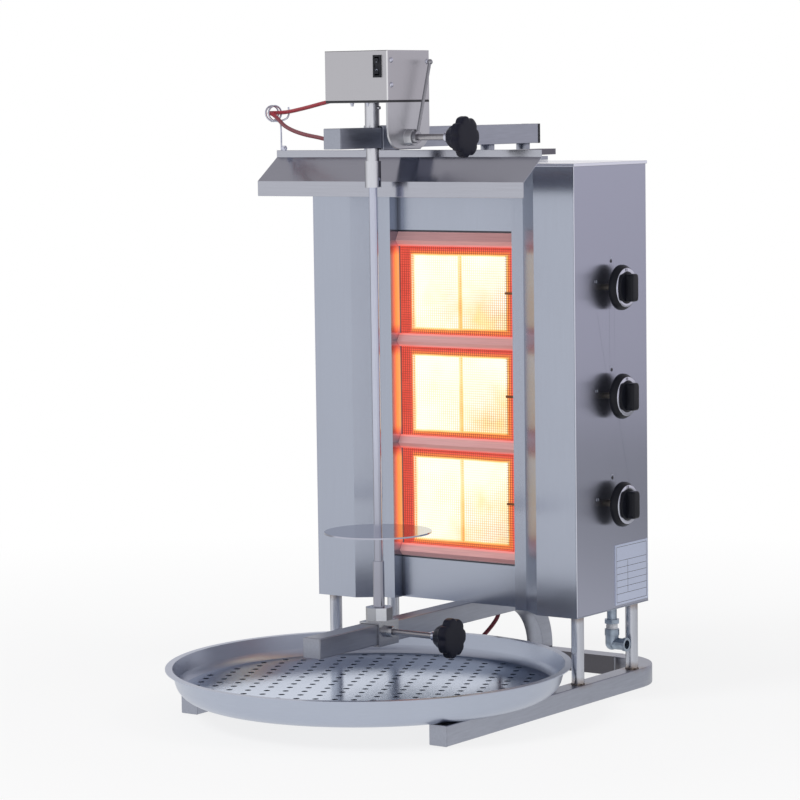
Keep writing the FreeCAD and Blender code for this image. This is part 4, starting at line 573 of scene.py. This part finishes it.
for place, z in KNOB_HEIGHTS.items():
    body = f"tap_knob_{place}"
    centre = at(KNOB_BACK, KNOB_Y, z)
    skirt = [(-2.2, 5), (-2.2, 27.6), (-1.5, 28.35), (1.6, 28.35), (2.9, 27.9), (6.8, 25.4), (7.5, 24.8),
             (7.5, 19.7), (9.3, 19.3), (10.0, 18.6), (10.0, 3)]
    knob = turned(f"knob_{place}", skirt, centre, X, tap_black, body, "knob_black", 96, 28)
    grip = [[centre + Vector((x + 7.5, y, up)) / 1000 for x, y, up in ring]
            for ring in grip_rings(17.0, 34.5, 13.0, 2.5, 0.09)]
    mesh_object(f"knob_grip_{place}", *strip(grip, False), tap_black, body, "knob_black", 50)
    ring = [(7.4, 24.6), (7.85, 24.4), (7.95, 24.0), (7.95, 20.2), (7.5, 19.8), (7.4, 19.8)]
    turned(f"knob_ring_{place}", ring, centre, X, LOOKS["bright_steel"], body, "bright_steel", 96, 28)
    ticks = []
    for y in (-3.4, 0.0):
        low = centre + Vector((7.9, y - 0.6, 20.4)) / 1000
        ticks.append(brick(low, low + Vector((0.25, 1.2, 3.4)) / 1000))
    mesh_object(f"knob_ticks_{place}", *join(*ticks), mark_dark, body, "knob_black")
    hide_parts(f"gas_knob_{place}")
    dot = [(0.0, 2.2), (0.45, 2.1), (0.7, 1.5), (0.75, 0.4)]
    turned(f"tap_mark_{place}", dot, at(CABINET_SIDE, 85, z + 32.7), X, mark_dark, "root", "knob_black", 24)
    signs = [brick(at(CABINET_SIDE, y, z + up), at(CABINET_SIDE + 0.12, y + wide, z + up + tall))
             for y, up, wide, tall in ((83.2, 36.2, 3.6, 0.9), (50.6, 7.0, 0.9, 3.4), (46.8, 7.0, 0.9, 3.4))]
    mesh_object(f"tap_signs_{place}", *join(*signs), marking_white, "root", "label_foil")

# Frame and table printed on the plain label

label_low, label_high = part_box("label_plate")
face, wide, tall = label_high.x, label_high.y - label_low.y, label_high.z - label_low.z


def label_line(y0, z0, y1, z1, thick=0.0005):
    """A thin printed line between two places given as shares of the label."""
    low = Vector((face - 0.0001, label_low.y + wide * y0 - thick / 2, label_low.z + tall * z0 - thick / 2))
    high = Vector((face + 0.00006, label_low.y + wide * y1 + thick / 2, label_low.z + tall * z1 + thick / 2))
    return brick(low, high)


frame_lines = [(0.04, z, 0.96, z) for z in (0.04, 0.96)] + [(y, 0.04, y, 0.96) for y in (0.04, 0.96)]
table_lines = [(0.04, z, 0.96, z) for z in (0.18, 0.29, 0.40, 0.51, 0.62, 0.73)] + [(0.38, 0.18, 0.38, 0.73)]
printed = join(*[label_line(*ends) for ends in frame_lines + table_lines])
mesh_object("label_print", *printed, mark_dark, "root", "label_foil")

# Star knobs


def star_rings(lobes=7, steps=22):
    """Outlines of a lobed knob from its hub to its face, as (along, across, up) in millimetres."""
    rows = [(-12.5, 6.0, 0.0), (-12.2, 8.0, 0.0), (-10.5, 11.2, 0.3), (-8.0, 13.2, 0.8), (-3.0, 15.6, 1.3),
            (1.0, 17.6, 1.7), (3.2, 20.0, 2.1), (4.8, 23.0, 2.6), (5.8, 24.6, 2.9), (6.8, 25.0, 3.0),
            (13.0, 25.0, 3.0), (14.4, 24.5, 2.9), (15.3, 23.4, 2.6), (15.7, 21.8, 2.0), (15.9, 19.0, 1.0),
            (16.0, 14.0, 0.1), (16.0, 9.0, 0.0), (16.0, 1.0, 0.0)]
    rings = []
    for along, radius, depth in rows:
        ring = []
        for i in range(lobes * steps):
            turn = 2 * math.pi * i / (lobes * steps)
            off = (i % steps) / steps - 0.5
            notch = math.exp(-(off / 0.17) ** 2)
            reach = radius - depth * notch
            ring.append((along, reach * math.cos(turn), reach * math.sin(turn)))
        rings.append(ring)
    return rings


for name, x, y, z, body, screw in (("upper_star", 119.5, -132.0, 708.5, "upper_clamp", 75.7),
                                   ("lower_star", 99.0, -143.0, 100.0, "lower_clamp", 86.2)):
    centre = at(x, y, z)
    star = [[centre + Vector(p) / 1000 for p in ring] for ring in star_rings()]
    head = mesh_object(f"{name}_head", *strip(star, False), LOOKS["knob_black"], body, "knob_black", 50)
    stud = [(-screw, 1.0), (-screw, 3.2), (-screw + 0.6, 3.8), (-12.8, 3.8), (-12.8, 1.0)]
    turned(f"{name}_screw", stud, centre, X, screw_steel, body, "bright_steel", 48, 30)
    ferrule = [(-18.2, 3.6), (-18.2, 5.0), (-17.7, 5.5), (-12.8, 5.5), (-12.3, 5.0), (-12.3, 3.6)]
    turned(f"{name}_ferrule", ferrule, centre, X, LOOKS["bright_steel"], body, "bright_steel", 48, 30)
    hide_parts(f"{name}_knob")

# Burner gauze: fine wires across each window, in front of the tiles

GAUZE_LEFT, GAUZE_RIGHT, GAUZE_Y, GAUZE_WIRE, GAUZE_PITCH = -91.0, 88.0, 40.5, 0.5, 3.05
wires = []
for low, high in WINDOWS:
    low, high = low * 1000 - 4, high * 1000 + 4
    columns = int((GAUZE_RIGHT - GAUZE_LEFT) / GAUZE_PITCH)
    for i in range(1, columns):
        x = GAUZE_LEFT + (GAUZE_RIGHT - GAUZE_LEFT) * i / columns
        wires.append(brick(at(x - GAUZE_WIRE / 2, GAUZE_Y, low), at(x + GAUZE_WIRE / 2, GAUZE_Y + 0.4, high)))
    rows = int((high - low) / GAUZE_PITCH)
    for i in range(1, rows):
        z = low + (high - low) * i / rows
        wires.append(brick(at(GAUZE_LEFT, GAUZE_Y + 0.3, z - GAUZE_WIRE / 2),
                           at(GAUZE_RIGHT, GAUZE_Y + 0.7, z + GAUZE_WIRE / 2)))
gauze = mesh_object("burner_gauze", *join(*wires), LOOKS["gauze"], "root", "gauze")
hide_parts("burner_guards")

# Small parts of the head: cover screws, screw ends under the bracket, marks on the rocker

SCREW_PROFILE = [(-0.2, 0.8), (-0.2, 3.2), (0.3, 3.3), (1.0, 2.9), (1.6, 2.0), (1.8, 1.0), (1.8, 0.3)]
cover_heads = [lathed(SCREW_PROFILE, at(side * COVER_SIDE, y, z), X * side, 28) for side in (-1, 1)
               for y, z in ((-166.0, 801.8), (-166.0, 772.2), (-90.5, 800.0))]
heads = mesh_object("cover_screw_heads", *join(*cover_heads), LOOKS["bright_steel"], "upper_carriage",
                    "bright_steel", 40)
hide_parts("cover_screws")
SCREW_END = [(0, 2.6), (1.4, 2.6), (1.6, 1.9), (3.6, 1.9), (4.0, 1.5), (4.0, 0.3)]
ends = [lathed(SCREW_END, at(x, -150, 750.6), -Z, 24) for x in (-24.0, 0.0)]
mesh_object("bracket_screw_ends", *join(*ends), LOOKS["bright_steel"], "upper_carriage", "bright_steel", 40)
ROCKER_FACE = COVER_FACE - 3.0
on_mark = brick(at(31.8, ROCKER_FACE + 0.9, 799.0), at(32.6, ROCKER_FACE + 1.9, 804.0))
turns = [k * math.pi / 12 for k in range(24)]
circle = [at(32.2 + 1.9 * math.cos(turn), ROCKER_FACE + 1.4, 788.2 + 2.3 * math.sin(turn)) for turn in turns]


def hoop(points, radius, sides=8):
    """A closed wire along points."""
    rings = []
    for i, point in enumerate(points):
        ahead = (points[(i + 1) % len(points)] - points[i - 1]).normalized()
        first = Y if abs(ahead.y) < 0.9 else Z
        second = ahead.cross(first).normalized()
        rings.append([point + (first * math.cos(2 * math.pi * k / sides)
                               + second * math.sin(2 * math.pi * k / sides)) * radius for k in range(sides)])
    return strip(rings, True)


mesh_object("rocker_marks", *join(on_mark, hoop(circle, 0.0004)), marking_white, "power_rocker",
            "switch_black")

# Cap on the top arm's rear end

CAP_HALF, CAP_SKIRT, CAP_THICK, CAP_OVERLAP = 0.01285, 0.0035, 0.001, 0.00015
arm_low, arm_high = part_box("upper_arm")
cap = brick(Vector((-CAP_HALF, arm_high.y - CAP_SKIRT, arm_low.z - CAP_OVERLAP)),
            Vector((CAP_HALF, arm_high.y + CAP_THICK, arm_high.z + CAP_OVERLAP)))
mesh_object("arm_rear_cap", *cap, LOOKS["switch_black"], "root", "switch_black")

# Foot nut of the wire guide

nut = [(0, 0.8), (0, 1.8), (1.2, 1.9), (1.2, 3.3), (1.5, 3.7), (4.4, 3.7), (4.8, 3.3), (4.8, 0.4)]
turned("guide_nut", nut, at(-188.0, -77.0, 694.6), Y, LOOKS["bright_steel"], "root", "bright_steel", 6, 20)

# Welds where the tubes meet


def weld(centre, radius, thick, body, name, segments=48):
    """A ring of weld round an upright tube, a little uneven."""
    points = []
    for k in range(segments):
        turn = 2 * math.pi * k / segments
        reach = radius + 0.0002 * math.sin(5 * turn) + 0.00015 * math.sin(11 * turn + 1)
        points.append(centre + Vector((reach * math.cos(turn), reach * math.sin(turn),
                                       0.0003 * math.sin(7 * turn))))
    mesh_object(name, *hoop(points, thick), weld_steel, body, "tube_steel")


WELD_HEIGHT, WELD_RADIUS, WELD_THICK = 0.0254, 0.0082, 0.0009
for side, label in ((-1, "left"), (1, "right")):
    for y, row in zip(LEG_ROWS, ("front", "rear")):
        foot = Vector((side * LEG_X, y, WELD_HEIGHT))
        weld(foot, WELD_RADIUS, WELD_THICK, "root", f"weld_{row}_{label}")

# Sealing tape on the gas inlet

tape = [(0.0, 5.0), (0.0, 7.2), (1.0, 7.5), (2.2, 7.3), (3.6, 7.55), (5.0, 7.3), (6.6, 7.35), (7.2, 6.9),
        (7.2, 5.0)]
turned("sealing_tape", tape, at(170.7, 128.6, 77.8), Z, tape_white, "root", "galvanised", 40, 60)

# Cords

MAINS_ROUTE = [(-23.0, 160.0, 88.0), (-23.0, 160.0, 76.0), (-29.0, 153.0, 62.0), (-38.5, 143.0, 47.0),
               (-53.0, 130.0, 29.5), (-70.0, 116.5, 12.0), (-88.0, 107.7, 2.75), (-110.0, 107.3, 2.75)]
COIL_X, COIL_Y, COIL_TURNS, COIL_PITCH = -115.5, 149.7, 3, 6.4
COIL_WIDE, COIL_TIGHT, COIL_LOW, COIL_RISE = 42.6, 23.4, 2.75, 6.0
COIL_STEPS = 16
MOTOR_ROUTE = [(-47.3, -132.0, 756.0), (-62.0, -129.5, 755.0), (-90.0, -118.5, 751.5),
               (-125.0, -103.5, 746.5), (-158.0, -88.0, 742.5), (-180.0, -76.5, 740.4),
               (-196.0, -68.8, 739.7), (-212.7, -60.8, 739.5), (-216.9, -69.7, 739.4),
               (-204.0, -76.3, 738.3), (-187.0, -86.0, 731.0), (-163.0, -106.0, 723.0),
               (-128.0, -132.0, 716.8), (-88.0, -160.0, 712.2), (-52.0, -184.0, 709.8),
               (-29.0, -199.5, 707.6), (-12.7, -205.0, 706.0)]


def coil_point(turned_by):
    """A place on the coil: in over the ground, up, and out again on top."""
    layer = 2 * math.pi * COIL_TURNS
    steady = COIL_PITCH / (2 * math.pi)
    if turned_by <= layer:
        radius, z = COIL_WIDE - steady * turned_by, COIL_LOW
    elif turned_by < layer + math.pi:
        share = (turned_by - layer) / math.pi
        radius = COIL_TIGHT - steady * math.sin(math.pi * share)
        z = COIL_LOW + COIL_RISE * share ** 2 * (3 - 2 * share)
    else:
        radius, z = COIL_TIGHT + steady * (turned_by - layer - math.pi), COIL_LOW + COIL_RISE
    radius /= math.cos(math.pi / COIL_STEPS)
    angle = -math.pi / 2 - turned_by
    return COIL_X + radius * math.cos(angle), COIL_Y + radius * math.sin(angle), z


def nurbs(name, route, diameter):
    """A smooth cord along a route given in the drawing frame."""
    curve = bpy.data.curves.new(name, "CURVE")
    curve.dimensions = "3D"
    curve.bevel_depth = diameter / 2
    curve.bevel_resolution = 6
    spline = curve.splines.new("NURBS")
    spline.points.add(len(route) - 1)
    for point, place in zip(spline.points, route):
        point.co = (*at(*place), 1)
    spline.order_u = 3
    spline.use_endpoint_u = True
    spline.resolution_u = 8
    obj = bpy.data.objects.new(name, curve)
    bpy.context.scene.collection.objects.link(obj)
    return obj


whole = 2 * (2 * math.pi * COIL_TURNS) + math.pi
steps = int(round(whole / (2 * math.pi) * COIL_STEPS))
coil = [coil_point((k + 0.5) * 2 * math.pi / COIL_STEPS) for k in range(steps)]
coil_end = (COIL_X, COIL_Y + COIL_WIDE, COIL_LOW + COIL_RISE)
mains = nurbs("mains_cord", MAINS_ROUTE + coil + [coil_end, (COIL_X + 5.5, *coil_end[1:])], 0.0055)
dress(mains, LOOKS["lead_red"], "root")
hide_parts("mains_lead", "mains_coil")


def curve_points(route):
    """Points along the smooth line of a route."""
    bare = nurbs("bare_route", route, 0.0)
    mesh = bpy.data.meshes.new_from_object(bare.evaluated_get(bpy.context.evaluated_depsgraph_get()))
    points = [v.co.copy() for v in mesh.vertices]
    bpy.data.objects.remove(bare)
    return points


def tube_rings(points, radius, sides=16):
    """Rings round a line, carried along it without twisting."""
    rings = []
    along = (points[1] - points[0]).normalized()
    first = side_axes(along)[0]
    for i, point in enumerate(points):
        ahead = (points[min(i + 1, len(points) - 1)] - points[max(i - 1, 0)]).normalized()
        first = (first - ahead * first.dot(ahead)).normalized()
        second = ahead.cross(first)
        rings.append([point + (first * math.cos(2 * math.pi * k / sides)
                               + second * math.sin(2 * math.pi * k / sides)) * radius for k in range(sides)])
    return rings


motor_path = curve_points(MOTOR_ROUTE)
verts, faces = strip(tube_rings(motor_path, 0.0025), False)
mesh = bpy.data.meshes.new("motor_cord")
mesh.from_pydata([tuple(v) for v in verts], [], faces)
mesh.shade_smooth()
mesh.materials.append(LOOKS["lead_red"])
motor_cord = bpy.data.objects.new("motor_cord", mesh)
bpy.context.scene.collection.objects.link(motor_cord)
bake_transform(motor_cord)
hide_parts("motor_lead")

# The wire guide's free end

TAIL = [(-203.0, -66.0, 729.6), (-198.0, -66.5, 729.4), (-193.0, -67.0, 730.6), (-187.5, -67.5, 732.6),
        (-184.4, -68.0, 737.4), (-184.2, -68.0, 742.4), (-185.2, -68.0, 746.6)]
mesh_object("guide_tail", *strip(tube_rings(curve_points(TAIL), 0.00115, 12), False), LOOKS["bright_steel"],
            "root", "bright_steel", 50)

# Floor, light and camera

FLOOR_REACH, FLOOR_HEIGHT = 3, -0.0006
corners = [(x * FLOOR_REACH, y * FLOOR_REACH, FLOOR_HEIGHT) for x, y in ((-1, -1), (1, -1), (1, 1), (-1, 1))]
floor_mesh = bpy.data.meshes.new("floor")
floor_mesh.from_pydata(corners, [], [(0, 1, 2, 3)])
floor = bpy.data.objects.new("floor", floor_mesh)
bpy.context.scene.collection.objects.link(floor)
g = Graph("studio_floor")
g.set(Base_Color=(0.82, 0.82, 0.83), Roughness=0.9)
seen = g.add("ShaderNodeLightPath").outputs
BEHIND = (-0.58, 0.81, 0.0)
mirrored = g.math("MAXIMUM", seen["Is Glossy Ray"], seen["Is Transmission Ray"])
direct = g.math("MAXIMUM", seen["Is Camera Ray"], mirrored)
away = g.add("ShaderNodeVectorMath", g.place, operation="LENGTH").outputs["Value"]
back = g.along(g.place, BEHIND)
rear_right = g.along(g.place, (0.58, 0.81, 0.0))
near = g.math("MULTIPLY", g.span(back, 0.3, 0.7, 1.0, 0.5), g.span(rear_right, -0.1, 0.7, 0.98, 0.70))
level = g.mix(mirrored, (1.0, 1.0, 1.0), near)
white = g.add("ShaderNodeEmission", level, 1.0).outputs[0]
blend = g.add("ShaderNodeMixShader", g.math("MULTIPLY", direct, g.span(away, 0.5, 1.6, 0.8, 1.0)),
              g.shader.outputs[0], white).outputs[0]
g.put(g.tree.nodes["Material Output"].inputs["Surface"], blend)
floor_mesh.materials.append(g.material)

world = bpy.data.worlds.new("studio")
bpy.context.scene.world = world
world.use_nodes = True
w = Graph.__new__(Graph)
w.tree = world.node_tree
way = w.add("ShaderNodeTexCoord").outputs["Generated"]
rise = w.add("ShaderNodeSeparateXYZ", way).outputs[2]
sky = w.ramp(rise, (0.0, (1.0, 1.0, 1.0)), (0.15, (0.95, 0.95, 0.96)), (0.4, (0.66, 0.66, 0.68)),
             (0.75, (0.52, 0.50, 0.52)), (1.0, (0.42, 0.42, 0.43)))
toward = w.along(way, (-0.58, -0.81, 0.0))
tint = w.mix(w.span(toward, -1.0, 0.2, 0.0, 1.0), (0.82, 0.795, 0.84), (1.0, 1.0, 1.0))
mirrored = w.mix(1.0, sky, tint, "MULTIPLY")
back = w.along(way, BEHIND)
dark = w.math("MULTIPLY", w.span(back, 0.42, 0.62, 0.0, 0.75), w.span(rise, -0.05, 0.01, 1.0, 0.0))
mirrored = w.mix(dark, mirrored, (0.0, 0.0, 0.0))
seen = w.add("ShaderNodeLightPath").outputs
clear = w.math("MAXIMUM", seen["Is Glossy Ray"], seen["Is Transmission Ray"])
shown = w.mix(clear, (0.55, 0.55, 0.56), mirrored)
shown = w.mix(seen["Is Camera Ray"], shown, (1.0, 1.0, 1.0))
w.put(w.tree.nodes["Background"].inputs["Color"], shown)


def lamp(name, place, aim, size, power, colour=(1, 1, 1)):
    data = bpy.data.lights.new(name, "AREA")
    data.shape = "DISK"
    data.size = size
    data.energy = power
    data.color = colour
    obj = bpy.data.objects.new(name, data)
    obj.location = place
    obj.rotation_euler = (Vector(aim) - Vector(place)).to_track_quat("-Z", "Y").to_euler()
    obj.visible_glossy = False
    bpy.context.scene.collection.objects.link(obj)


lamp("key", (-1.2, -2.6, 3.0), (0, 0, 0.4), 1.6, 55)
lamp("fill", (2.8, 0.4, 2.2), (0, 0, 0.3), 1.6, 18)

CAMERA_PLACE, CAMERA_WAY = (2.2785, -3.1895, 0.7519), (-0.5788, 0.8101, -0.0939)
AZIMUTH, ROLL, LENS, SENSOR_WIDTH = 0.6204, -0.0136, 142.46, 36
ahead = Vector(CAMERA_WAY).normalized()
right = Vector((math.cos(AZIMUTH), math.sin(AZIMUTH), 0))
up = right.cross(ahead)
right, up = right * math.cos(ROLL) + up * math.sin(ROLL), up * math.cos(ROLL) - right * math.sin(ROLL)
camera_data = bpy.data.cameras.new("camera")
camera_data.lens = LENS
camera_data.sensor_width = SENSOR_WIDTH
camera = bpy.data.objects.new("camera", camera_data)
turned_to = Matrix((right, up, -ahead)).transposed().to_4x4()
camera.matrix_world = Matrix.Translation(CAMERA_PLACE) @ turned_to
bpy.context.scene.collection.objects.link(camera)
bpy.context.scene.camera = camera
bpy.context.scene.view_settings.view_transform = "Standard"
